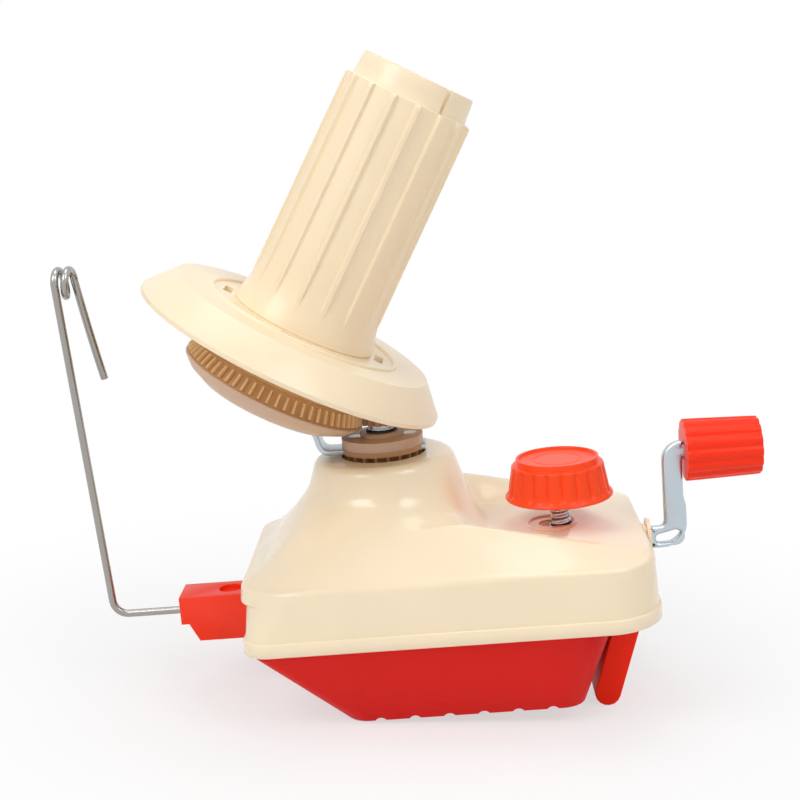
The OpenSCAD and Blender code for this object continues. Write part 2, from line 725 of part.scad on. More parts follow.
module bobbin_gear() color(ochre) on_bobbin(0) difference() {
    union() {
        translate([0, 0, gear_low]) cylinder(
            h = bevel_face,
            r1 = bobbin_pitch_r + tan(bobbin_cone) * bevel_face / 2 - bevel_ded / cos(bobbin_cone),
            r2 = bobbin_pitch_r - tan(bobbin_cone) * bevel_face / 2 - bevel_ded / cos(bobbin_cone));
        translate([0, 0, gear_high - overlap]) cylinder(h = web_low - gear_high + overlap, r = gear_hub_r);
        for (i = [0:bobbin_teeth - 1]) rotate([0, 0, (i + 0.5) * 360 / bobbin_teeth])
            translate([bobbin_pitch_r, 0, -gear_drop]) rotate([0, -bobbin_cone, 0])
                linear_extrude(0.84 * bevel_face, center = true) polygon([
                    [-bevel_ded - overlap, -0.72 * bevel_module], [bevel_add, -0.29 * bevel_module],
                    [bevel_add, 0.29 * bevel_module], [-bevel_ded - overlap, 0.72 * bevel_module]
                ]);
    }
    translate([0, 0, gear_low - overlap]) cylinder(h = web_high - gear_low, r = bush_r + seat_gap);
    bobbin_screw_ring(gear_low - overlap, web_high, bobbin_screw_r + seat_gap);
    bobbin_screw_ring(gear_low - overlap, bobbin_head_z, bobbin_head_r + seat_gap);
}

module gear_cover() color(tan_plastic) on_bobbin(0) difference() {
    translate([0, 0, cover_low]) rotate_extrude() polygon([
        [0, 0], [cover_foot_r, 0], [cover_turn_r, 0.42 * cover_h], [cover_rim_r, cover_h - 1],
        [cover_rim_r, cover_h], [0, cover_h]
    ]);
    translate([0, 0, cover_low + 2]) difference() {
        cylinder(h = cover_h, r1 = cover_foot_r - 1.6, r2 = cover_rim_r);
        cylinder(h = cover_h, r = bush_r + 2);
    }
    translate([0, 0, cover_low - overlap]) cylinder(h = cover_h + 2 * overlap, r = bush_r + seat_gap);
}

module flange_plate() color(cream) on_bobbin(-flange_drop) difference() {
    union() {
        rotate_extrude($fn = 128) polygon([
            [0, skirt_h], [flange_ring_r, skirt_h], [flange_r, 1.6], [flange_r, 0],
            [flange_r - flange_wall, 0],
            [flange_ring_r - flange_wall / 2, skirt_h - flange_wall], [0, skirt_h - flange_wall]
        ]);
        translate([0, 0, skirt_h]) rotate_extrude() translate([tube_foot_r + bead_gap, 0])
            circle(1, $fn = 24);
    }
    translate([0, 0, skirt_h - 2 * flange_wall]) cylinder(h = 3 * flange_wall, r = bush_r + seat_gap);
    for (i = [0:3]) rotate([0, 0, i * 90]) translate([tube_foot_r + 1.2, -6, skirt_h - 2 * flange_wall])
        cube([3.4, 12, 3 * flange_wall]);
    bobbin_screw_ring(skirt_h - 2 * flange_wall, skirt_h + flange_wall, bobbin_screw_r + seat_gap);
}

// Height along the tube where its ribs begin to stand clear of the flared foot
rib_low = 0.7 * tube_flare_h;
collar_low = tube_len - collar_h;
bead_gap = 9.5;

module winding_tube() color(cream) on_bobbin(web_high) {
    difference() {
        union() {
            rotate_extrude($fn = 128) polygon([
                [0, 0], [tube_foot_r, 0], [rib_foot_r + 0.4, rib_low * 0.6],
                [rib_foot_r - rib_h, 2.2 * tube_flare_h], [rib_top_r - rib_h, collar_low + overlap],
                [0, collar_low + overlap]
            ]);
            for (i = [0:rib_count - 1]) rotate([0, 0, (i + 0.5) * 360 / rib_count])
                translate([0, rib_w / 2, 0]) rotate([90, 0, 0]) linear_extrude(rib_w) polygon([
                    [rib_foot_r - 3 * rib_h, rib_low * 0.6], [rib_foot_r, rib_low],
                    [rib_top_r, collar_low - overlap],
                    [collar_foot_r - 2 * overlap, collar_low + overlap / 2],
                    [rib_top_r - 3 * rib_h, collar_low + overlap / 2]
                ]);
            translate([0, 0, collar_low])
                cylinder(h = collar_h, r1 = collar_foot_r, r2 = collar_top_r, $fn = 128);
        }
        translate([0, 0, 3]) cylinder(
            h = tube_len, r1 = rib_foot_r - rib_h - tube_wall, r2 = collar_top_r - tube_wall, $fn = 128);
        rotate([0, 0, -2.5 * 360 / rib_count]) translate([0, -slit_w / 2, collar_low - 1.6 * overlap])
            cube([2 * collar_foot_r, slit_w, 2 * collar_h]);
        translate([0, 0, -overlap]) cylinder(h = 4 * overlap + 3, r = bush_r + seat_gap);
        bobbin_screw_ring(-overlap, 3 + overlap, bobbin_screw_r + seat_gap);
    }
}

module bobbin_bush() color(ochre) on_bobbin(cover_low) difference() {
    cylinder(h = bush_high - cover_low, r = bush_r);
    translate([0, 0, -overlap]) cylinder(h = bush_high - cover_low + 2 * overlap, r = axle_r + run_gap);
}

module bobbin_screws() color(steel) on_bobbin(0) {
    bobbin_screw_ring(bobbin_head_z - 1.8, bobbin_head_z, bobbin_head_r);
    bobbin_screw_ring(bobbin_head_z - overlap, tube_floor, bobbin_screw_r);
}

module crank_shaft() color(steel) difference() {
    along_x(crown_tip_x, shaft_end_x, shaft_r, 0, crank_z);
    translate([arm_tongue_x - seat_gap, -arm_t / 2 - seat_gap, crank_z - 2 * shaft_r])
        cube([casing_right, arm_t + 2 * seat_gap, 4 * shaft_r]);
    translate([crown_pin_x, 0, crank_z - 2 * crown_hub_r])
        cylinder(h = 4 * crown_hub_r, r = crown_pin_r + seat_gap);
}

module crown_gear() color(tan_plastic) translate([0, 0, crank_z]) difference() {
    union() {
        along_x(crown_face_x, crown_face_x + crown_disc_t, crown_out_r + 0.8, 0, 0);
        along_x(crown_face_x, crown_hub_x, crown_hub_r, 0, 0);
        translate([crown_tip_x, 0, 0]) rotate([90, 0, 90])
            linear_extrude(crown_face_x - crown_tip_x + overlap)
            for (i = [0:crown_teeth - 1]) rotate(90 + i * 360 / crown_teeth)
                translate([crown_in_r, -crown_tooth_w / 2]) square([crown_face, crown_tooth_w]);
    }
    along_x(0, crown_hub_x + overlap, shaft_r + seat_gap, 0, 0);
    translate([crown_pin_x, 0, -2 * crown_hub_r]) cylinder(h = 4 * crown_hub_r, r = crown_pin_r + seat_gap);
}

module crown_pin() color(steel) translate([crown_pin_x, 0, crank_z - crown_hub_r])
    cylinder(h = 2 * crown_hub_r, r = crown_pin_r);

// Points of an arc about a centre in the XZ plane
bend_steps = 8;
function arc_points(x, z, r, from, to) = [
    for (i = [0:bend_steps]) let (a = from + (to - from) * i / bend_steps) [x + r * cos(a), z + r * sin(a)]
];
arm_tongue = tongue_half_in(shaft_r);
pin_tongue = tongue_half_in(grip_pin_r);
slot_x = [arm_start_x + 1.5 + arm_slot / 2, arm_right_x - 2.2 - arm_slot / 2];

// Flat arm: a tongue in the forked shaft, a slotted lower leg, the upright and a tongue in the grip's pin
module crank_arm() color(steel) across_y(arm_t) difference() {
    polygon(concat(
        [[arm_tongue_x, crank_z - arm_tongue], [arm_start_x, crank_z - arm_tongue]],
        [[arm_start_x, crank_z - arm_leg_half]],
        arc_points(arm_right_x - arm_round, crank_z - arm_leg_half + arm_round, arm_round, 270, 360),
        [[arm_right_x, grip_z - arm_w / 2], [grip_x, grip_z - arm_w / 2], [grip_x, grip_z - pin_tongue]],
        [[grip_x + grip_tongue_len, grip_z - pin_tongue], [grip_x + grip_tongue_len, grip_z + pin_tongue]],
        [[grip_x, grip_z + pin_tongue], [grip_x, grip_z + arm_w / 2]],
        arc_points(arm_x + arm_top_round, grip_z + arm_w / 2 - arm_top_round, arm_top_round, 90, 180),
        [[arm_x, crank_z + arm_leg_half], [arm_start_x, crank_z + arm_leg_half]],
        [[arm_start_x, crank_z + arm_tongue], [arm_tongue_x, crank_z + arm_tongue]]
    ));
    translate([slot_x[0], crank_z - arm_slot / 2]) square([slot_x[1] - slot_x[0], arm_slot]);
    for (x = slot_x) translate([x, crank_z]) circle(arm_slot / 2);
}

module grip_pin() color(steel) difference() {
    union() {
        along_x(grip_x, grip_x + grip_len - grip_head_t, grip_pin_r, 0, grip_z);
        along_x(grip_x + grip_len - grip_head_t, grip_x + grip_len, grip_head_r, 0, grip_z);
    }
    translate([0, -arm_t / 2 - seat_gap, grip_z - 2 * grip_pin_r])
        cube([grip_x + grip_tongue_len + seat_gap, arm_t + 2 * seat_gap, 4 * grip_pin_r]);
}

module crank_grip() color(red) translate([grip_x + end_gap, 0, grip_z]) difference() {
    rotate([0, 90, 0]) cylinder(h = grip_len, r1 = grip_r, r2 = grip_end_r);
    for (i = [0:grip_flutes - 1]) rotate([i * 360 / grip_flutes, 0, 0])
        translate([-overlap, 0, grip_r + 0.5])
        rotate([0, 90 + atan2(grip_r - grip_end_r, grip_len), 0])
            cylinder(h = 2 * grip_len, r = 1.3, $fn = 24);
    along_x(-overlap, grip_len + overlap, grip_pin_r + run_gap, 0, 0);
    along_x(grip_len - grip_head_t - 1.1, grip_len + overlap, grip_head_r + 0.4, 0, 0);
}

module clamp_knob() color(red) translate([clamp_x, -clamp_front, knob_z]) difference() {
    rotate_extrude() polygon([
        [0, 0], [knob_lip_r, 0], [knob_lip_r, 1], [knob_body_r, 2.2], [knob_shoulder_r, 0.8 * knob_h],
        [knob_ring_r, 0.86 * knob_h], [knob_ring_r, knob_h], [knob_ring_r - 1.8, knob_h],
        [knob_ring_r - 2.2, knob_h - 0.8], [0, knob_h - 0.8]
    ]);
    for (i = [0:knob_scallops - 1]) rotate([0, 0, i * 360 / knob_scallops])
        translate([knob_body_r + 1.2, 0, 2.6])
            rotate([0, -atan2(knob_body_r - knob_shoulder_r, 0.8 * knob_h), 0])
                cylinder(h = knob_h, r = 1.8, $fn = 24);
    translate([0, 0, -overlap]) cylinder(h = 0.7 * knob_h + overlap, r = screw_r + seat_gap);
}

module clamp_screw() color(steel) translate([clamp_x, -clamp_front, screw_low])
    cylinder(h = knob_z + 0.7 * knob_h - screw_low, r = screw_r);

module clamp_collar() color(steel) translate([clamp_x, -clamp_front, collar_z]) difference() {
    cylinder(h = collar_t, r = clamp_flange_r - 0.7);
    translate([0, 0, -overlap]) cylinder(h = collar_t + 2 * overlap, r = screw_r + seat_gap);
}

// Outline of the jaw: a round-ended finger that leans out, an upright back and a level plate
finger_half_x = finger_t / 2 / cos(finger_lean);
finger_back_z = tip_z + (jaw_right_x - finger_x - finger_half_x) / tan(finger_lean);
finger_root_x = finger_x + (plate_low - tip_z) * tan(finger_lean) - finger_half_x;

module clamp_jaw() color(red) difference() {
    translate([0, -clamp_front, 0]) across_y(jaw_w) polygon(concat(
        arc_points(finger_x, tip_z, finger_t / 2, 180 - finger_lean, 360 - finger_lean),
        [[jaw_right_x, finger_back_z], [jaw_right_x, plate_high], [clamp_x - plate_t, plate_high]],
        [[clamp_x - plate_t, plate_low], [finger_root_x, plate_low]]
    ));
    translate([clamp_x, -clamp_front, plate_low - overlap]) {
        cylinder(h = plate_t + 2 * overlap, r = screw_r + side_gap);
        cylinder(h = clamp_nut_h + overlap, r = clamp_nut_r + seat_gap, $fn = 6);
    }
}

module clamp_nut() color(steel) translate([clamp_x, -clamp_front, plate_low]) difference() {
    cylinder(h = clamp_nut_h, r = clamp_nut_r, $fn = 6);
    translate([0, 0, -overlap]) cylinder(h = clamp_nut_h + 2 * overlap, r = screw_r + run_gap);
}

upper_casing();
lower_casing();
casing_screws();
main_post();
post_nut();
post_spacer();
sun_pinion();
retaining_washer();
crank_bush_outer();
crank_bush_inner();
clamp_bush();
guide_holder();
yarn_guide_wire();
carrier_gear();
carrier_cap();
bobbin_bracket();
carrier_screws();
bobbin_axle();
axle_washer();
axle_nut();
bobbin_gear();
gear_cover();
flange_plate();
winding_tube();
bobbin_bush();
bobbin_screws();
crank_shaft();
crown_gear();
crown_pin();
crank_arm();
grip_pin();
crank_grip();
clamp_knob();
clamp_screw();
clamp_collar();
clamp_jaw();
clamp_nut();
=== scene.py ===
from math import atan2, cos, hypot, pi, radians, sin, sqrt, tan

import bmesh
import bpy
from mathutils import Matrix, Vector


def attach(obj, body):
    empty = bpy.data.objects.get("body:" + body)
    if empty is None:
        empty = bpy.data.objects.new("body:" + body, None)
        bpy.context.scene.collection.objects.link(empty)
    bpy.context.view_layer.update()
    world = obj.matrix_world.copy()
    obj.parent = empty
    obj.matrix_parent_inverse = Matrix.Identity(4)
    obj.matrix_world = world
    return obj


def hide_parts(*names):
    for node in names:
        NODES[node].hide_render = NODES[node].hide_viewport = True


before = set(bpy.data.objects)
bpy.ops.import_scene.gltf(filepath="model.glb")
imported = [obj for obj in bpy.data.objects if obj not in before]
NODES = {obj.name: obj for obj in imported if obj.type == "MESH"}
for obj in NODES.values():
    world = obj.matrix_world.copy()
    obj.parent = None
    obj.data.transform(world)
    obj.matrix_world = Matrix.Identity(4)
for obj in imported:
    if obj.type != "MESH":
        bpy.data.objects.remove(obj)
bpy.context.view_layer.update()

MM = 0.001

# Sizes in millimetres, fitted to the CAD model

# Casing: its plan at the rim, then heights, radii and runs of its top
CASING = dict(left=54, right=99, half=55, r_left=9, r_right=20)
TOP_CORNER_LEFT, TOP_EDGE, TOP_HOLE_R = 21, 1.2, 16.3
WALL, DRAFT = 2.5, 1.1
RIM_Z, BAND_PROUD, WALL_TOP = 34, 0.55, 57
NECK_FOOT_Z, NECK_FOOT_R = 82, 30
HIP_R, LEFT_SETBACK = 22, 2
RIDGE_Z, RIDGE_Y, RIDGE_START, RIDGE_FALL = 74.2, 38, 27, 0.225
SIDE_START, SIDE_RUN = 4, 24
FLOOR_Z, FLOOR_HALF, FLOOR_START, FLOOR_RUN = 63.9, 21, 25, 13
LIP, LIP_START, LIP_RUN, LIP_Z = 2.2, 46, 5, 51.2

# Clamp, crank and bobbin: where their axes lie, and the tube's foot along the bobbin's
CLAMP_X, CLAMP_Y, KNOB_Z = 66, -10.6, 74.5
CRANK_Z, GRIP_X, GRIP_Z = 52, 115.3, 86
APEX_Z, TILT, TUBE_FOOT = 191.27, radians(30), -52

# Bevel pair of sun pinion and bobbin gear
SUN_TEETH, BOBBIN_TEETH, BEVEL_MODULE, BEVEL_FACE = 13, 66, 1.07, 6
BEVEL = atan2(sin(TILT), SUN_TEETH / BOBBIN_TEETH + cos(TILT))


# Shader maths

class Value:
    """A node's output that takes part in Python sums."""

    def __init__(self, shading, socket):
        self.shading, self.socket = shading, socket

    def _sum(self, operation, a, b):
        return self.shading.node("ShaderNodeMath", {"operation": operation}, {0: a, 1: b})

    def __add__(self, other):
        return self._sum("ADD", self, other)

    def __radd__(self, other):
        return self._sum("ADD", other, self)

    def __mul__(self, other):
        return self._sum("MULTIPLY", self, other)

    def __rmul__(self, other):
        return self._sum("MULTIPLY", other, self)


class Shading:
    """The nodes of a material or of the world's light."""

    def __init__(self, tree):
        self.tree = tree

    def node(self, kind, settings=None, inputs=None, out=0):
        """A new node's output, after its settings and then its sockets are set."""
        made = self.tree.nodes.new(kind)
        for name, value in (settings or {}).items():
            setattr(made, name, value)
        for socket, value in (inputs or {}).items():
            if isinstance(value, Value):
                self.tree.links.new(value.socket, made.inputs[socket])
            else:
                made.inputs[socket].default_value = value
        return Value(self, made.outputs[out])

    def background_rays(self):
        """One for rays that see the white background: the camera's, and those off metal or through glass."""
        seen = self.node("ShaderNodeLightPath", out="Is Camera Ray")
        for other in ("Is Glossy Ray", "Is Transmission Ray"):
            rays = self.node("ShaderNodeLightPath", out=other)
            seen = self.node("ShaderNodeMath", {"operation": "MAXIMUM"}, {0: seen, 1: rays})
        return seen

    def show(self, value, output):
        self.tree.links.new(value.socket, self.tree.nodes[output].inputs["Surface"])


class Finish(Shading):
    """One material, with its values that are the same all over set on its shader."""

    def __init__(self, name, **constants):
        self.material = bpy.data.materials.new(name)
        self.material.use_nodes = True
        super().__init__(self.material.node_tree)
        self.shader = self.tree.nodes["Principled BSDF"]
        for socket, value in constants.items():
            self.shader.inputs[socket.replace("_", " ")].default_value = value

    def feed(self, socket, value):
        self.tree.links.new(value.socket, self.shader.inputs[socket])

    def place(self):
        return self.node("ShaderNodeTexCoord", out="Object")

    def noise(self, place, scale, detail):
        return self.node("ShaderNodeTexNoise", {}, {"Vector": place, "Scale": scale, "Detail": detail})

    def bump(self, height, strength, distance):
        return self.node("ShaderNodeBump", {}, {"Height": height, "Strength": strength, "Distance": distance})

    def blend(self, factor, a, b):
        return self.node("ShaderNodeMix", {"data_type": "RGBA"}, {0: factor, 6: a, 7: b}, out=2)


def linear(r, g, b):
    """A colour given as 0 to 255 in sRGB, as the shader wants it."""
    def one(c):
        c /= 255
        return c / 12.92 if c <= 0.04045 else ((c + 0.055) / 1.055) ** 2.4
    return (one(r), one(g), one(b), 1)


def shade(colour, factor):
    """The colour, lighter or darker by a factor."""
    return tuple(c * factor for c in colour[:3]) + (1,)


def moulded(name, colour, rough, orange_peel, worn, coat=0.0, shine=0.4):
    """Moulded plastic: slow drift of tone, faint flow marks, a fine skin and paler rubbed edges."""
    f = Finish(name, Specular_IOR_Level=shine, Coat_Roughness=0.08, Coat_Weight=coat)
    place = f.place()
    drift = f.noise(place, 26, 2)
    skin = f.noise(place, 900, 2)
    edge = f.node("ShaderNodeNewGeometry", out="Pointiness")
    rubbed = f.node("ShaderNodeMapRange", {}, {0: edge, 1: 0.53, 2: 0.62, 3: 0.0, 4: worn})
    tone = f.blend(drift, shade(colour, 0.95), shade(colour, 1.04))
    pale = tuple(min(1, c * 0.82 + 0.16) for c in colour[:3]) + (1,)
    f.feed("Base Color", f.blend(rubbed, tone, pale))
    f.feed("Roughness", drift * 0.06 + skin * 0.05 + (rough - 0.055))
    f.feed("Normal", f.bump(skin, orange_peel, 0.0002))
    return f.material


def plated(name, colour, rough, grain, cloud):
    """Plated or bright metal: clouded tone, uneven gloss and a fine grain."""
    f = Finish(name, Metallic=1.0)
    place = f.place()
    clouds = f.noise(place, 70, 4)
    fine = f.noise(place, 1400, 2)
    f.feed("Base Color", f.blend(clouds, shade(colour, 1 - cloud), shade(colour, 1 + cloud * 0.5)))
    f.feed("Roughness", clouds * 0.12 + fine * 0.08 + (rough - 0.1))
    f.feed("Normal", f.bump(fine, grain, 0.0001))
    return f.material


CREAM = moulded("cream_plastic", linear(250, 231, 198), 0.24, 0.04, 0.25, 0.35)
CREAM_SATIN = moulded("cream_bobbin_plastic", linear(248, 228, 194), 0.34, 0.05, 0.2, 0.15)
RED = moulded("red_plastic", linear(254, 52, 14), 0.36, 0.05, 0.12, 0, 0.22)
KNOB_RED = moulded("red_knob_plastic", linear(255, 74, 24), 0.32, 0.05, 0.12, 0, 0.24)
BASE_RED = moulded("red_base_plastic", linear(228, 18, 2), 0.45, 0.06, 0.1, 0, 0.08)
JAW_RED = moulded("red_jaw_plastic", linear(255, 46, 20), 0.42, 0.06, 0.1, 0, 0.12)
TAN = moulded("tan_plastic", linear(212, 178, 150), 0.42, 0.08, 0.2)
OCHRE = moulded("ochre_plastic", linear(188, 138, 90), 0.45, 0.08, 0.25)
# Painted light: the guide block's ochre is paler than its plastic, to lift it out of the shadow under the
# knob
BLOCK_OCHRE_PAINTED_LIGHT = moulded("ochre_block_plastic_painted_light", linear(236, 182, 74), 0.5, 0.08, 0.2)
BLACK = moulded("black_fibre", linear(34, 32, 31), 0.5, 0.12, 0.1)
ZINC = plated("zinc_plate", linear(196, 207, 214), 0.36, 0.12, 0.1)
BRIGHT = plated("bright_wire", linear(168, 165, 161), 0.24, 0.06, 0.14)
STEEL = plated("turned_steel", linear(190, 192, 195), 0.3, 0.15, 0.1)


def gear_plastic(name, colour, painted_gap_shade):
    """Ochre plastic of the bobbin's gear, painted paler against the flange's shadow, with painted shade in
    the gaps between its teeth.

    depth is how far a point stands out from the gear's pitch cone, in millimetres.
    """
    f = Finish(name, Specular_IOR_Level=0.4)
    place = f.place()
    drift = f.noise(place, 60, 3)
    skin = f.noise(place, 900, 2)
    axis = (sin(TILT), 0, cos(TILT))
    from_apex = f.node("ShaderNodeVectorMath", {"operation": "SUBTRACT"}, {0: place, 1: (0, 0, APEX_Z * MM)})
    along = f.node("ShaderNodeVectorMath", {"operation": "DOT_PRODUCT"}, {0: from_apex, 1: axis}, out="Value")
    on_axis = f.node("ShaderNodeVectorMath", {"operation": "SCALE"}, {0: axis, "Scale": along})
    out = f.node("ShaderNodeVectorMath", {"operation": "DISTANCE"}, {0: from_apex, 1: on_axis}, out="Value")
    depth = (out + along * tan(BEVEL)) * (1 / MM)
    steps = {"interpolation_type": "SMOOTHSTEP"}
    tip = f.node("ShaderNodeMapRange", steps, {0: depth, 1: -1.25, 2: 0.2, 3: 0.0, 4: 1.0})
    web = f.node("ShaderNodeMapRange", steps, {0: depth, 1: -3.2, 2: -2.2, 3: 1.0, 4: 0.0})
    # Painted shade mask: one on the teeth and on the web below them, none at the teeth's roots, where the
    # darker gap colour stands in for shade
    out_of_painted_shade = tip + web
    tone = f.blend(drift, shade(colour, 0.93), shade(colour, 1.05))
    f.feed("Base Color", f.blend(out_of_painted_shade, painted_gap_shade, tone))
    f.feed("Roughness", drift * 0.1 + skin * 0.05 + 0.36)
    f.feed("Normal", f.bump(skin, 0.08, 0.0002))
    return f.material


# Painted light and shade: the first colour is the gear's ochre made paler to lift the teeth out of the shadow
# under the flange; the second is painted shade for the gaps between the teeth
GEAR = gear_plastic("ochre_gear_plastic", linear(240, 200, 146), linear(204, 154, 102))

NODE_FINISH = dict(
    casing_screws=STEEL, main_post=STEEL, post_nut=STEEL, post_spacer=STEEL, sun_pinion=OCHRE,
    retaining_washer=BLACK, crank_bush_outer=CREAM, crank_bush_inner=OCHRE, clamp_bush=OCHRE,
    carrier_gear=OCHRE, carrier_cap=TAN, carrier_screws=STEEL, bobbin_axle=STEEL, axle_washer=STEEL,
    axle_nut=STEEL, bobbin_gear=GEAR, gear_cover=TAN, bobbin_bush=OCHRE, bobbin_screws=STEEL,
    crank_shaft=STEEL, crown_gear=TAN, crown_pin=STEEL, grip_pin=STEEL, clamp_collar=STEEL, clamp_nut=STEEL,
    lower_casing=BASE_RED, guide_holder=RED, clamp_jaw=JAW_RED, flange_plate=CREAM_SATIN)
for node, finish in NODE_FINISH.items():
    NODES[node].data.materials.clear()
    NODES[node].data.materials.append(finish)


# Mesh helpers

def piece(name, mesh, finish, body, *nodes):
    """Makes a mesh a piece of the object that rides on a body and stands for CAD nodes."""
    mesh.materials.clear()
    mesh.materials.append(finish)
    obj = bpy.data.objects.new(name, mesh)
    bpy.context.scene.collection.objects.link(obj)
    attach(obj, body)
    if nodes:
        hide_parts(*nodes)
    return obj


def soften(mesh, sharp):
    """Smooth shading that keeps edges sharper than the given angle."""
    bm = bmesh.new()
    bm.from_mesh(mesh)
    for face in bm.faces:
        face.smooth = True
    for edge in bm.edges:
        edge.smooth = not (edge.is_manifold and edge.calc_face_angle(0) > radians(sharp))
    bm.to_mesh(mesh)
    bm.free()


def mesh_from(name, points, faces, sharp=35):
    """A mesh from points in millimetres."""
    mesh = bpy.data.meshes.new(name)
    mesh.from_pydata([(x * MM, y * MM, z * MM) for x, y, z in points], [], faces)
    bm = bmesh.new()
    bm.from_mesh(mesh)
    bmesh.ops.remove_doubles(bm, verts=bm.verts, dist=1e-6)
    bmesh.ops.recalc_face_normals(bm, faces=bm.faces)
    bm.to_mesh(mesh)
    bm.free()
    soften(mesh, sharp)
    return mesh


def rounded_node(node, body, finish, width, segments=3):
    """A copy of a CAD node with its sharp edges rounded."""
    bm = bmesh.new()
    bm.from_mesh(NODES[node].data)
    bmesh.ops.remove_doubles(bm, verts=bm.verts, dist=2e-6)
    bmesh.ops.dissolve_limit(bm, angle_limit=radians(1.5), verts=bm.verts, edges=bm.edges)
    sharp = [e for e in bm.edges if e.is_manifold and e.calc_face_angle(0) > radians(28)]
    bmesh.ops.bevel(bm, geom=sharp, offset=width * MM, segments=segments, profile=0.5, affect="EDGES",
                    clamp_overlap=True)
    mesh = bpy.data.meshes.new(node + "_rounded")
    bm.to_mesh(mesh)
    bm.free()
    soften(mesh, 40)
    return piece(node + "_rounded", mesh, finish, body, node)


def cut_mesh(mesh, cutters):
    """The mesh with the cutters' forms taken out."""
    work = bpy.data.objects.new("work", mesh)
    bpy.context.scene.collection.objects.link(work)
    tools = []
    for cutter in cutters:
        tool = bpy.data.objects.new("cutter", cutter)
        bpy.context.scene.collection.objects.link(tool)
        tools.append(tool)
        cut = work.modifiers.new("cut", "BOOLEAN")
        cut.operation, cut.solver, cut.object = "DIFFERENCE", "EXACT", tool
    bpy.context.view_layer.update()
    done = bpy.data.meshes.new_from_object(work.evaluated_get(bpy.context.evaluated_depsgraph_get()))
    for obj in tools + [work]:
        bpy.data.objects.remove(obj)
    return done


def joined(name, *meshes):
    """Several meshes as one."""
    bm = bmesh.new()
    for mesh in meshes:
        bm.from_mesh(mesh)
    whole = bpy.data.meshes.new(name)
    bm.to_mesh(whole)
    bm.free()
    return whole


def turned(name, profile, steps, place=Matrix(), relief=None, angles=None, sharp=35):
    """A form turned about Z from a closed outline of (radius, height).

    relief(angle, radius, height) gives the radius to use in place of the outline's.
    """
    angles = angles or [2 * pi * i / steps for i in range(steps)]
    points, faces = [], []
    n, m = len(angles), len(profile)
    for a in angles:
        for r, z in profile:
            q = relief(a, r, z) if relief else r
            points.append(tuple(place @ Vector((q * cos(a), q * sin(a), z))))
    for i in range(n):
        for j in range(m):
            ahead, above = (i + 1) % n, (j + 1) % m
            faces.append((i * m + j, ahead * m + j, ahead * m + above, i * m + above))
    return mesh_from(name, points, faces, sharp)


def stacked(name, rings):
    """A closed form through rings of points, with flat ends."""
    n, last = len(rings[0]), len(rings) - 1
    points = [p for ring in rings for p in ring]
    faces = [tuple(range(n)), tuple(range(last * n, (last + 1) * n))]
    for row in range(last):
        a, b = row * n, (row + 1) * n
        faces += [(a + i, a + (i + 1) % n, b + (i + 1) % n, b + i) for i in range(n)]
    return mesh_from(name, points, faces)


def rounded_outline(corners, steps):
    """Outline through (x, y, radius) corners, each rounded by its radius."""
    out = []
    for i, (x, y, r) in enumerate(corners):
        p, after = Vector((x, y)), Vector(corners[(i + 1) % len(corners)][:2])
        u, v = (Vector(corners[i - 1][:2]) - p).normalized(), (after - p).normalized()
        half = u.angle(v) / 2
        if r <= 0 or abs(half - pi / 2) < 0.01:
            out.append((x, y))
            continue
        centre = p + (u + v).normalized() * (r / sin(half))
        a, b = p + u * (r / tan(half)) - centre, p + v * (r / tan(half)) - centre
        for k in range(steps + 1):
            t = k / steps
            spoke = (a * (1 - t) + b * t).normalized() * r
            out.append(tuple(centre + spoke))
    return out


def ramp(x, places):
    """Smooth monotone curve through (x, y) places."""
    xs, ys = [p[0] for p in places], [p[1] for p in places]
    if x <= xs[0]:
        return ys[0]
    if x >= xs[-1]:
        return ys[-1]
    slopes = [(ys[i + 1] - ys[i]) / (xs[i + 1] - xs[i]) for i in range(len(xs) - 1)]
    ends = [slopes[0]]
    for a, b in zip(slopes, slopes[1:]):
        ends.append(0 if a * b <= 0 else 2 * a * b / (a + b))
    ends.append(slopes[-1])
    i = max(k for k in range(len(xs) - 1) if xs[k] <= x)
    h = xs[i + 1] - xs[i]
    t = (x - xs[i]) / h
    return (ys[i] * (1 + 2 * t) * (1 - t) ** 2 + ends[i] * h * t * (1 - t) ** 2
            + ys[i + 1] * t * t * (3 - 2 * t) + ends[i + 1] * h * t * t * (t - 1))


def soft_max(a, b, reach):
    """The larger of two values, blended where they differ by less than reach."""
    near = max(reach - abs(a - b), 0) / reach
    return max(a, b) + near * near * reach / 4


def soft_min(a, b, reach):
    return -soft_max(-a, -b, reach)


# Where the bobbin's axis meets the main axis, with Z along the bobbin
BOBBIN = Matrix.Translation((0, 0, APEX_Z)) @ Matrix.Rotation(TILT, 4, "Y")


def on_bobbin(z):
    """The place at a height along the bobbin's axis."""
    return BOBBIN @ Matrix.Translation((0, 0, z))


def drum(x, y, low, high, r):
    """A plain upright cutter or column."""
    return turned("drum", [(0, low), (r, low), (r, high), (0, high)], 48, Matrix.Translation((x, y, 0)))


# Casing

def plan_loop(left, right, half, r_left, r_right):
    """Points round a rounded plan outline, always the same number in the same order.

    A side is (x, y, end x, end y, points) and a corner (x, y, radius, first angle, points), in turn.
    """
    points = []
    sides = [
        (-left + r_left, -half, right - r_right, -half, 90),
        (right - r_right, -half + r_right, r_right, -90, 16),
        (right, -half + r_right, right, half - r_right, 44),
        (right - r_right, half - r_right, r_right, 0, 16),
        (right - r_right, half, -left + r_left, half, 90),
        (-left + r_left, half - r_left, r_left, 90, 14),
        (-left, half - r_left, -left, -half + r_left, 50),
        (-left + r_left, -half + r_left, r_left, 180, 14)]
    for i, (a, b, c, d, n) in enumerate(sides):
        for k in range(n):
            t = k / n
            if i % 2:
                angle = radians(d + 90 * t)
                points.append((a + c * cos(angle), b + c * sin(angle)))
            else:
                points.append((a + (c - a) * t, b + (d - b) * t))
    return points


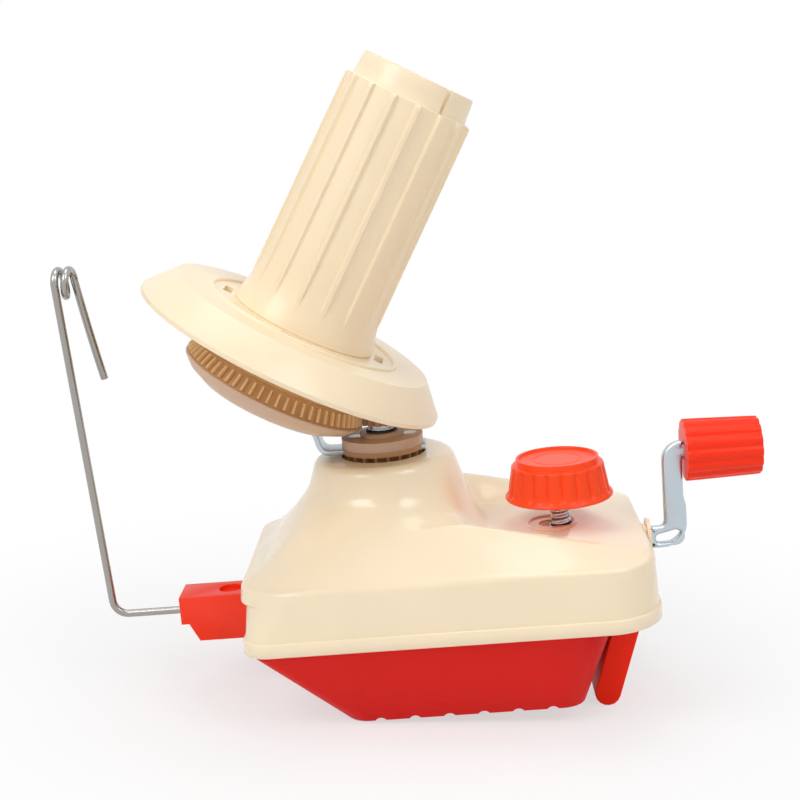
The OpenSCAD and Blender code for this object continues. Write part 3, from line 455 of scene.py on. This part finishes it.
def shrunk(plan, inset):
    """The plan with all its sides and radii less by an inset."""
    return dict(left=plan["left"] - inset, right=plan["right"] - inset, half=plan["half"] - inset,
                r_left=plan["r_left"] - inset, r_right=plan["r_right"] - inset)


def rise(t):
    """Smooth step from 0 to 1."""
    t = min(max(t, 0), 1)
    return t * t * (3 - 2 * t)


def curve_through(x, places):
    """Value at x of a smooth curve through (x, value) places."""
    last = len(places) - 1
    x = min(max(x, places[0][0]), places[last][0])
    i = max(k for k in range(last) if places[k][0] <= x)
    (x0, y0), (x1, y1) = places[i], places[i + 1]
    before, after = places[max(i - 1, 0)], places[min(i + 2, last)]
    m0, m1 = (y1 - before[1]) / (x1 - before[0]), (after[1] - y0) / (after[0] - x0)
    span, t = x1 - x0, (x - x0) / (x1 - x0)
    return ((1 + 2 * t) * (1 - t) ** 2 * y0 + t * (1 - t) ** 2 * span * m0
            + t * t * (3 - 2 * t) * y1 + t * t * (t - 1) * span * m1)


# Outline of the neck as (radius, height): all round, and on the steeper flank towards the crank
SHOULDER = [(22, 94), (23.5, 94), (25.4, 93.5), (27, 91.8), (28, 89)]
NECK = SHOULDER + [(30, 82), (33, 76), (36.5, 71.6), (40, 68), (44, 63), (60, 44)]
FLANK = SHOULDER + [(30.2, 82), (32.5, 74), (36, 63), (44, 42), (60, 20)]


def slope_reach(ux, uy):
    """How far the foot of the casing's slopes lies from the main axis, in a direction."""
    front, left = CASING["half"] - DRAFT, CASING["left"] - DRAFT - LEFT_SETBACK
    to_front = front / max(abs(uy), 0.05)
    hip = Vector((HIP_R - left, front - HIP_R))
    if to_front * ux >= hip.x:
        return to_front
    if left / -ux * abs(uy) <= hip.y:
        return left / -ux
    along = hip.dot((ux, abs(uy)))
    return along + sqrt(along ** 2 - hip.length_squared + HIP_R ** 2)


def casing_height(x, y):
    """Height of the casing's top: neck, slopes to the walls, a ridge each side and the sunk floor between."""
    r = hypot(x, y)
    flank = rise((x / r - 0.35) / 0.5)
    neck = curve_through(r, NECK) * (1 - flank) + curve_through(r, FLANK) * flank
    out = (max(r, NECK_FOOT_R - 2) - NECK_FOOT_R) / (slope_reach(x / r, y / r) - NECK_FOOT_R)
    hump = NECK_FOOT_Z - (NECK_FOOT_Z - WALL_TOP) * out
    ridge = RIDGE_Z - RIDGE_FALL * soft_max(x - RIDGE_START, 0, 8)
    front = CASING["half"] - DRAFT - abs(y)
    span = CASING["half"] - DRAFT - RIDGE_Y
    side = WALL_TOP + min(front, span) * (ridge - WALL_TOP) / span
    body = hump + (side - hump) * rise((x - SIDE_START) / SIDE_RUN)
    floor = soft_min(FLOOR_Z, ridge + 0.2, 1.5)
    if abs(y) < RIDGE_Y:
        sunk = floor + max(ridge - floor, 0) * rise((abs(y) - FLOOR_HALF) / (RIDGE_Y - FLOOR_HALF))
        body += (sunk - body) * rise((x - FLOOR_START) / FLOOR_RUN)
    body = soft_max(body, WALL_TOP + 0.1, 2)
    body = soft_min(body, WALL_TOP + 2.5 * (CASING["right"] - DRAFT - x), 2)
    return soft_max(neck, body, 5 + 6 * rise((x - 15) / 12))


# The wall from its top down to the rim: height, inset from the plan, corner radius at the left end
WALL_ROWS = [
    (52, 0.89, 18.5), (51.2, 0.84, 18), (47, 0.62, 15), (43, 0.43, 12), (39.4, 0.3, 9.6), (39.25, -0.3, 9),
    (39, -BAND_PROUD, 9), (36.5, -BAND_PROUD, 9), (34.4, -BAND_PROUD, 9), (RIM_Z, -BAND_PROUD + 0.4, 9)]


def casing_skin(thick):
    """Rings of the casing's outside from the top hole to the rim, or of its inside at the given thickness."""
    rings, bends, down = 90, 4, 1.2 * thick
    top = dict(CASING, r_left=TOP_CORNER_LEFT)
    inner = plan_loop(**shrunk(top, DRAFT + TOP_EDGE))
    n = len(inner)
    skin = [[] for _ in range(rings + 1)]
    slopes = []
    for x, y in inner:
        far = hypot(x, y)
        for k in range(rings + 1):
            r = (TOP_HOLE_R + (far - TOP_HOLE_R) * k / rings) / far
            near = (TOP_HOLE_R + (far - thick - TOP_HOLE_R) * k / rings) / far
            skin[k].append((near * x, near * y, casing_height(r * x, r * y) - down))
        back = 1 - 1 / far
        fall = casing_height(back * x, back * y) - casing_height(x, y)
        slopes.append(min(max(atan2(fall, 1), 0.1), 1.1))
    for step in range(1, bends + 1):
        ring = []
        for i in range(n):
            angle = slopes[i] + (pi / 2 - slopes[i]) * step / bends
            bend = TOP_EDGE / (1 - sin(slopes[i]))
            plan = plan_loop(**shrunk(top, DRAFT + thick + bend * (1 - sin(angle))))
            ring.append((*plan[i], skin[rings][i][2] - bend * (cos(slopes[i]) - cos(angle))))
        skin.append(ring)
    for z, inset, corner in WALL_ROWS:
        plan = plan_loop(**shrunk(dict(CASING, r_left=corner), max(inset, 0) + thick if thick else inset))
        skin.append([(x, y, z) for x, y in plan])
    return skin


def casing_mesh():
    """The casing's shell with a lip over the guide holder, the clamp screw's hole and the crank shaft's."""
    loops = casing_skin(0) + casing_skin(WALL)[::-1]
    n = len(loops[0])
    points = []
    for x, y, z in (p for loop in loops for p in loop):
        lip = LIP * rise((-x - LIP_START) / LIP_RUN) * rise((z - LIP_Z) / 0.8)
        points.append((x - lip, y, z))
    faces = []
    for k in range(len(loops)):
        a, b = k * n, (k + 1) % len(loops) * n
        faces += [(a + i, a + (i + 1) % n, b + (i + 1) % n, b + i) for i in range(n)]
    shell = mesh_from("casing_shell", points, faces, 50)
    across = Matrix.Translation((0, 0, CRANK_Z)) @ Matrix.Rotation(pi / 2, 4, "Y")
    shaft_hole = turned("shaft_hole", [(0, 90), (5.55, 90), (5.55, 104), (0, 104)], 40, across)
    shell = cut_mesh(shell, [clamp_slot(58, 72, 4.5), shaft_hole])
    soften(shell, 50)
    return shell


def clamp_slot(low, high, half):
    """The long hole that the clamp screw comes up through, as a cutter."""
    outline = []
    for x, first in ((CLAMP_X, -90), (CLAMP_X - 4, 90)):
        for a in [radians(first + 15 * k) for k in range(13)]:
            outline.append((x + half * cos(a), CLAMP_Y + half * sin(a)))
    return stacked("slot", [[(x, y, z) for x, y in outline] for z in (low, high)])


def clamp_rim():
    """Raised ring round the clamp screw's hole, with a boss under the sunk floor."""
    profile = [
        (8.3, -5), (9.6, -5), (9.7, -0.5), (9.6, 0.3),
        (9.2, 0.65), (8.8, 0.55), (8.5, 0.15), (8.3, -0.5)]
    place = Matrix.Translation((CLAMP_X - 3.6, CLAMP_Y, 0))
    return turned("clamp_rim", [(r, FLOOR_Z + z) for r, z in profile], 72, place)


def guide_block():
    """Block at the side of the clamp screw, seen in its hole."""
    low, high, middle = 57.5, 63.6, 6.3
    outline = rounded_outline([
        (-8.4, -3.4, 1.6), (-4.5, -3.4, 0.2), (-4.2, -1.4, 0.3),
        (-4.2, 1.4, 0.3), (-4.5, 3.4, 0.2), (-8.4, 3.4, 1.6)], 4)
    rings = []
    for z, size in ((low, 1.0), (high - 0.4, 1.0), (high, 0.93)):
        rings.append([(CLAMP_X - middle + (x + middle) * size, CLAMP_Y + y * size, z) for x, y in outline])
    return stacked("guide_block", rings)


piece("screw_guide_block", guide_block(), BLOCK_OCHRE_PAINTED_LIGHT, "frame")

# Columns for the casing's screws: place along the casing, distance from its middle, top
COLUMNS = ((-12, 22, 74), (49, 26, 61))
columns = [drum(x, side * y, 37, top, 5) for x, y, top in COLUMNS for side in (-1, 1)]
piece("casing", joined("casing", casing_mesh(), clamp_rim(), *columns), CREAM, "frame", "upper_casing")


# Bobbin

def tube_mesh():
    """Winding tube: ribs that run out above the flared foot, a plain collar with a slit, and the hollow."""
    ribs, rib_r, shoulder, rib_low = 16, 25.5, 93.3, 8.5
    rib_half, rib_flank, slit_angle = 1.15, 0.45, radians(-56.25)
    pitch = 360 / ribs
    offsets = (-4.9, -3.2, -2.0, -1.35, -1.0, -0.75, -0.45, 0, 0.45, 0.75, 1.0, 1.35, 2.0, 3.2)
    angles = [radians((i + 0.5) * pitch) + mm / rib_r for i in range(ribs) for mm in offsets]
    core = [(0, 28.5), (3, 27.9), (7, 26.8), (11, 26.0), (16, 25.4), (24, 25.0), (53, 24.5), (93.3, 23.9)]
    rib_height = [(rib_low, 0.0), (11, 0.25), (14, 0.75), (18, 1.0), (24, 1.2), (53, 1.4), (93.3, 1.55)]
    heights = [0.5, 2, 4, 6, 8, 9.5, 11, 12.5, 14, 16, 18, 21, 25, 30, 38, 47, 57, 67, 77, 86, 91, 92.2, 92.9]
    profile = [(7.05, 0), (28.1, 0)] + [(ramp(z, core), z) for z in heights] + [
        (23.5, 93.3), (22.9, 93.35), (22.7, 93.6), (22.3, 98), (21.95, 101.9), (21.7, 102.35), (21.3, 102.5),
        (20.4, 102.5), (20.1, 102.2), (22.5, 4), (22.0, 3), (7.05, 3)]

    def relief(angle, r, z):
        if not rib_low < z < shoulder - 0.05 or r < 23.7:
            return r
        turn = angle / radians(pitch) - 0.5
        off = abs(turn - round(turn)) * radians(pitch) * rib_r
        tip = min(max((shoulder - z) / 0.6, 0), 1)
        return r + ramp(z, rib_height) * rise((rib_half - off) / rib_flank) * tip

    place = on_bobbin(TUBE_FOOT)
    mesh = turned("tube", profile, 0, place, relief, angles, 40)
    wedge = place @ Matrix.Rotation(slit_angle, 4, "Z")
    corners = []
    for x in (15, 32):
        for side in (-1, 1):
            corners += [wedge @ Vector((x, side * half, z)) for z, half in ((92.6, 0.45), (110, 1.9))]
    faces = [(0, 1, 3, 2), (4, 6, 7, 5), (0, 4, 5, 1), (2, 3, 7, 6), (0, 2, 6, 4), (1, 5, 7, 3)]
    mesh = cut_mesh(mesh, [mesh_from("slit", corners, faces)])
    soften(mesh, 40)
    return mesh


piece("ribbed_tube", tube_mesh(), CREAM_SATIN, "bobbin", "winding_tube")
rounded_node("flange_plate", "bobbin", CREAM_SATIN, 0.5)
rounded_node("gear_cover", "bobbin", TAN, 0.8)
rounded_node("carrier_cap", "carrier", TAN, 0.45)
rounded_node("retaining_washer", "frame", BLACK, 0.2, 2)

# Grooved sleeve round the main post, just above the retaining washer: (radius, height)
SLEEVE = [
    (4.6, 103.55), (5.0, 103.55), (5.15, 103.7), (5.15, 104.3), (4.85, 104.4), (4.85, 104.7), (5.15, 104.8),
    (5.15, 105.35), (5.0, 105.5), (4.6, 105.5)]
piece("post_sleeve", turned("post_sleeve", SLEEVE, 56), STEEL, "frame")


# Crank

def grip_mesh():
    """Fluted grip, slightly tapered, with a bore for its pin."""
    flutes, flute_depth = 14, 0.75
    profile = [(3.25, 0), (11.3, 0), (11.8, 0.1), (12.0, 0.4), (11.95, 4), (11.8, 9), (11.65, 14), (11.5, 19),
               (11.35, 24), (11.2, 28.3), (11.0, 28.68), (10.5, 28.8), (9.2, 28.8), (5.6, 28.8), (5.4, 28.5),
               (5.4, 25.75), (3.25, 25.7)]

    def relief(angle, r, z):
        if r < 9:
            return r
        wave = 0.5 + 0.5 * cos(flutes * angle)
        return r - flute_depth * wave ** 2.2

    place = Matrix.Translation((GRIP_X, 0, GRIP_Z)) @ Matrix.Rotation(pi / 2, 4, "Y")
    return turned("grip", profile, flutes * 12, place, relief)


piece("fluted_grip", grip_mesh(), RED, "grip", "crank_grip")


def flat_bar(name, outlines, thickness, edge):
    """A flat bar cut to outlines in XZ, with rounded edges; outlines after the first are holes."""
    curve = bpy.data.curves.new(name, "CURVE")
    curve.dimensions, curve.fill_mode = "2D", "BOTH"
    curve.extrude, curve.bevel_depth, curve.bevel_resolution = (thickness / 2 - edge) * MM, edge * MM, 3
    curve.offset = -edge * MM
    for outline in outlines:
        line = curve.splines.new("POLY")
        line.use_cyclic_u = True
        line.points.add(len(outline) - 1)
        for p, (x, z) in zip(line.points, outline):
            p.co = (x * MM, z * MM, 0, 1)
    work = bpy.data.objects.new("work", curve)
    bpy.context.scene.collection.objects.link(work)
    bpy.context.view_layer.update()
    mesh = bpy.data.meshes.new_from_object(work.evaluated_get(bpy.context.evaluated_depsgraph_get()))
    bpy.data.objects.remove(work)
    mesh.transform(Matrix.Rotation(pi / 2, 4, "X"))
    bm = bmesh.new()
    bm.from_mesh(mesh)
    bmesh.ops.remove_doubles(bm, verts=bm.verts, dist=1e-6)
    bmesh.ops.recalc_face_normals(bm, faces=bm.faces)
    bm.to_mesh(mesh)
    bm.free()
    soften(mesh, 40)
    return mesh


def arm_mesh():
    """Flat crank arm: tongue in the shaft, slotted lower leg, upright, tongue in the grip's pin."""
    left, right, start, tail, grip_x = 106.7, 114.5, 101.3, 92, 114.9
    leg, tongue, head, grip_tongue = 4.29, 3.42, 3.9, 2.45
    low, high = CRANK_Z - leg, CRANK_Z + leg
    outline = rounded_outline([
        (tail, CRANK_Z - tongue, 0.4), (start, CRANK_Z - tongue, 0), (start, low, 0.6),
        (right + 0.9, low, 9.4), (right + 0.9, CRANK_Z + 12, 3), (right, CRANK_Z + 16, 3),
        (right, GRIP_Z - head, 0), (grip_x, GRIP_Z - head, 0), (grip_x, GRIP_Z - grip_tongue, 0),
        (grip_x + 9, GRIP_Z - grip_tongue, 0.4), (grip_x + 9, GRIP_Z + grip_tongue, 0.4),
        (grip_x, GRIP_Z + grip_tongue, 0), (grip_x, GRIP_Z + head, 0), (left, GRIP_Z + head, 7.6),
        (left, high, 2.4), (start, high, 0.6), (start, CRANK_Z + tongue, 0),
        (tail, CRANK_Z + tongue, 0.4)], 10)
    slot = []
    for x, z, r, first in ((104.8, CRANK_Z - 0.5, 1.75, 90), (110.6, CRANK_Z + 0.3, 2.35, -90)):
        for a in [radians(first + 15 * k) for k in range(13)]:
            slot.append((x + r * cos(a), z + r * sin(a)))
    return flat_bar("arm", [outline, slot], 3.96, 1.3)


piece("stamped_arm", arm_mesh(), ZINC, "crank", "crank_arm")


# Clamp

def knob_mesh():
    """Scalloped knob with a flared lip and a raised ring on its top."""
    scallops = 20
    side_low, side_high = 1.5, 12.8
    lip = [(4.05, 0.1), (19.6, 0), (20.2, 0.15), (20.5, 0.6), (20.35, 1.1), (19.7, 1.9), (19.35, 2.7)]
    side = [(19.0, 4.6), (18.6, 6.8), (18.2, 9.0), (17.9, 10.7), (17.75, 11.7), (17.6, 12.4), (17.2, 12.9)]
    ring = [(16.4, 13.1), (15.95, 13.15), (15.8, 13.35), (15.7, 15.2), (15.6, 15.42), (15.4, 15.5),
            (14.75, 15.5), (14.6, 15.42), (14.45, 15.1), (14.3, 14.6), (14.0, 14.45)]
    dish = [(9.2, 14.42), (9.05, 14.25), (8.75, 14.25), (8.6, 14.42), (0.0, 14.45)]
    profile = lip + side + ring + dish + [(0.0, 10.85), (4.05, 10.85)]

    def relief(angle, r, z):
        if not side_low < z < side_high or r < 16:
            return r
        depth = ramp(z, [(side_low, 0), (2.8, 1.0), (11.4, 0.95), (side_high, 0)])
        wave = abs(sin(scallops * angle / 2))
        return r - depth * (1 - wave) ** 1.5 - depth * 0.1

    place = Matrix.Translation((CLAMP_X, CLAMP_Y, KNOB_Z))
    return turned("knob", profile, scallops * 14, place, relief, sharp=45)


piece("scalloped_knob", knob_mesh(), KNOB_RED, "knob", "clamp_knob")


def screw_mesh():
    """Clamp screw with its thread."""
    low, high, pitch, around, per_turn, crest, groove = 4.5, 85.3, 2.5, 28, 7, 3.98, 0.7
    rows = int((high - low) / pitch * per_turn)
    points, faces = [], []
    for j in range(rows + 1):
        z = low + (high - low) * j / rows
        for i in range(around):
            a = 2 * pi * i / around
            turn = (z / pitch - i / around) % 1
            r = crest - groove * (1 - abs(2 * turn - 1)) ** 0.8
            points.append((CLAMP_X + r * cos(a), CLAMP_Y + r * sin(a), z))
    for j in range(rows):
        for i in range(around):
            k = (i + 1) % around
            faces.append((j * around + i, j * around + k, (j + 1) * around + k, (j + 1) * around + i))
    faces += [tuple(range(around)), tuple(range(rows * around, (rows + 1) * around))]
    return mesh_from("screw", points, faces, 60)


piece("threaded_screw", screw_mesh(), STEEL, "knob", "clamp_screw")
rounded_node("clamp_jaw", "jaw", JAW_RED, 1.2)
rounded_node("lower_casing", "frame", BASE_RED, 0.8)
rounded_node("guide_holder", "frame", RED, 1.1)


# Yarn guide

def swept(name, path, r):
    """A round wire along a path, slightly narrowed at its ends."""
    curve = bpy.data.curves.new(name, "CURVE")
    curve.dimensions, curve.bevel_depth, curve.bevel_resolution, curve.use_fill_caps = "3D", r * MM, 5, True
    line = curve.splines.new("POLY")
    line.points.add(len(path) - 1)
    n = len(path)
    for i, (p, at) in enumerate(zip(line.points, path)):
        p.co = (at[0] * MM, at[1] * MM, at[2] * MM, 1)
        p.radius = 0.8 if i in (0, n - 1) else 1
    work = bpy.data.objects.new("work", curve)
    bpy.context.scene.collection.objects.link(work)
    bpy.context.view_layer.update()
    mesh = bpy.data.meshes.new_from_object(work.evaluated_get(bpy.context.evaluated_depsgraph_get()))
    bpy.data.objects.remove(work)
    soften(mesh, 50)
    return mesh


def guide_mesh():
    """Level leg, bend, leaning upright, an eye of one and a half turns and the free leg."""
    z0, bend, lean, r, top, wire_x = 35.8, 6, radians(3.1), 1.5, 175, 112.5
    path = [(-58.6, 0, z0), (-59, 0, z0), (-80, 0, z0)]
    centre = (-wire_x + bend * cos(lean), z0 + bend)
    for k in range(13):
        a = radians(270) - (radians(90) - lean) * k / 12
        path.append((centre[0] + bend * cos(a), 0, centre[1] + bend * sin(a)))
    foot_x, foot_z = path[-1][0], path[-1][2]
    eye_r = 5
    eye_z = top - eye_r - r
    eye_x = foot_x - (eye_z - foot_z) * tan(lean)
    for k in range(1, 8):
        t = k / 8
        path.append((foot_x + (eye_x - foot_x) * t, 0, foot_z + (eye_z - foot_z) * t))
    turns, shift = 1.5, 5.4
    for k in range(49):
        t = k / 48
        a = 2 * pi * turns * t
        x = eye_x + shift * (0.4 * t + 0.6 * rise(t))
        path.append((x, eye_r - eye_r * cos(a), eye_z + eye_r * sin(a)))
    start_x, start_y, start_z = path[-1]
    leg, spread = 39.6, radians(10)
    for k in range(1, 9):
        t = k / 8
        d = leg * t
        path.append((start_x + d * sin(spread) * (t * 0.15 + 0.85), start_y, start_z - d * cos(spread)))
    end, before = Vector(path[-1]), Vector(path[-2])
    path.append(tuple(end + (end - before).normalized() * 0.3))
    return swept("guide", path, r)


piece("coiled_guide", guide_mesh(), BRIGHT, "guide", "yarn_guide_wire")


# Carrier bracket

def bracket_mesh():
    """Strip bent from the cap's level leg up to a plate square to the bobbin axis."""
    mid_z, width, thickness = 96.3, 11, 2
    lean, left, inner_end, plate_reach = radians(14), -24.3, 16.5, 9
    cover, cover_gap, hole_r = 7.3, 1.5, 3.95
    axis = Vector((sin(TILT), cos(TILT)))
    along = Vector((-cos(TILT), sin(TILT)))
    gear_low = -(BOBBIN_TEETH * BEVEL_MODULE / 2) / tan(BEVEL) - BEVEL_FACE / 2
    plate = Vector((0, APEX_Z)) + axis * (gear_low - cover - cover_gap - thickness / 2)
    corner = Vector((left + (1 / cos(lean) - tan(lean)) * thickness / 2, mid_z))
    up = Vector((-sin(lean), cos(lean)))
    cross = up.x * along.y - up.y * along.x
    s = ((plate.x - corner.x) * along.y - (plate.y - corner.y) * along.x) / cross
    knee = corner + up * s
    line = [Vector((inner_end, mid_z)), corner, knee, plate + along * plate_reach]
    centre = [line[0]]
    for i, bend in ((1, 6.0), (2, 4.0)):
        p, a, b = line[i], line[i - 1], line[i + 1]
        u, v = (a - p).normalized(), (b - p).normalized()
        reach = min(bend / tan(u.angle(v) / 2), 0.45 * (a - p).length, 0.45 * (b - p).length)
        for k in range(9):
            q = k / 8
            centre.append((p + u * reach) * (1 - q) ** 2 + p * 2 * q * (1 - q) + (p + v * reach) * q * q)
    centre.append(line[3])
    sides = [[], []]
    for i, p in enumerate(centre):
        ahead = (centre[min(i + 1, len(centre) - 1)] - centre[max(i - 1, 0)]).normalized()
        normal = Vector((-ahead.y, ahead.x)) * (thickness / 2)
        sides[0].append(tuple(p + normal))
        sides[1].append(tuple(p - normal))
    outline = sides[0] + sides[1][::-1]
    mesh = flat_bar("bracket", [outline], width, 0.45)
    mesh = cut_mesh(mesh, [drum(0, 0, 90, 102, hole_r)])
    soften(mesh, 40)
    return mesh


piece("bent_bracket", bracket_mesh(), ZINC, "carrier", "bobbin_bracket")


# Stage, camera and light

ROLL = radians(4.7)
UP = Vector((sin(ROLL), 0, cos(ROLL)))


def floor():
    """Pale floor that keeps the shadow under the object and turns white away from it."""
    mesh = bpy.data.meshes.new("floor")
    side, front = Vector((cos(ROLL), 0, -sin(ROLL))), Vector((0, 1, 0))
    drop, reach = 0.00205, 6
    base = UP * -drop
    corners = [base + side * x * reach + front * y * reach for x, y in ((-1, -1), (1, -1), (1, 1), (-1, 1))]
    mesh.from_pydata([tuple(corner) for corner in corners], [], [(0, 1, 2, 3)])
    obj = bpy.data.objects.new("floor", mesh)
    bpy.context.scene.collection.objects.link(obj)
    f = Finish("white_floor", Base_Color=(0.9, 0.9, 0.9, 1), Roughness=0.9, Specular_IOR_Level=0.1)
    away = f.node("ShaderNodeVectorMath", {"operation": "LENGTH"}, {0: f.place()}, out="Value")
    steps = {"interpolation_type": "SMOOTHSTEP"}
    clear = f.node("ShaderNodeMapRange", steps, {0: away, 1: 0.05, 2: 0.3, 3: 0.6, 4: 1.0})
    seen = f.background_rays() * clear
    glow = f.node("ShaderNodeEmission", {}, {"Color": (1, 1, 1, 1), "Strength": 1.0})
    shown = f.node("ShaderNodeMixShader", {}, {0: seen, 1: Value(f, f.shader.outputs[0]), 2: glow})
    f.show(shown, "Material Output")
    mesh.materials.append(f.material)


floor()

camera = bpy.data.cameras.new("camera")
camera.sensor_width, camera.lens, camera.clip_start, camera.clip_end = 36, 66.6, 0.01, 50
camera_obj = bpy.data.objects.new("camera", camera)
bpy.context.scene.collection.objects.link(camera_obj)
PITCH, YAW = radians(12), radians(1.3)
turn = Matrix.Rotation(ROLL, 3, "Y") @ Matrix.Rotation(YAW, 3, "Z")
right = turn @ Vector((1, 0, 0))
up = turn @ Vector((0, sin(PITCH), cos(PITCH)))
back = turn @ Vector((0, -cos(PITCH), sin(PITCH)))
spot = turn @ Vector((-0.0013, -0.5565, 0.2326))
camera_obj.matrix_world = Matrix((
    (right.x, up.x, back.x, spot.x),
    (right.y, up.y, back.y, spot.y),
    (right.z, up.z, back.z, spot.z),
    (0, 0, 0, 1)))
bpy.context.scene.camera = camera_obj


def softbox(name, place, aim, width, height, power):
    """A rectangular lamp that faces a point."""
    light = bpy.data.lights.new(name, "AREA")
    light.shape, light.size, light.size_y, light.energy = "RECTANGLE", width, height, power
    obj = bpy.data.objects.new(name, light)
    bpy.context.scene.collection.objects.link(obj)
    obj.location = place
    obj.rotation_euler = (Vector(aim) - Vector(place)).to_track_quat("-Z", "Y").to_euler()


softbox("left_softbox", (-0.53, -0.61, 0.9), (0, 0, 0.09), 0.5, 0.5, 4.2)
softbox("right_softbox", (0.6, -0.54, 0.9), (0, 0, 0.09), 0.45, 0.45, 2.8)
softbox("top_softbox", (0.05, 0.1, 1.35), (0, 0, 0.1), 0.9, 0.7, 4.0)


def studio():
    """Even pale light all round, seen as white."""
    world = bpy.data.worlds.new("studio")
    bpy.context.scene.world = world
    world.use_nodes = True
    f = Shading(world.node_tree)
    pale = f.node("ShaderNodeBackground", {}, {"Color": (0.97, 0.98, 1, 1), "Strength": 0.46})
    white = f.node("ShaderNodeBackground", {}, {"Color": (1, 1, 1, 1), "Strength": 1})
    f.show(f.node("ShaderNodeMixShader", {}, {0: f.background_rays(), 1: pale, 2: white}), "World Output")


studio()
bpy.context.scene.view_settings.view_transform = "Standard"
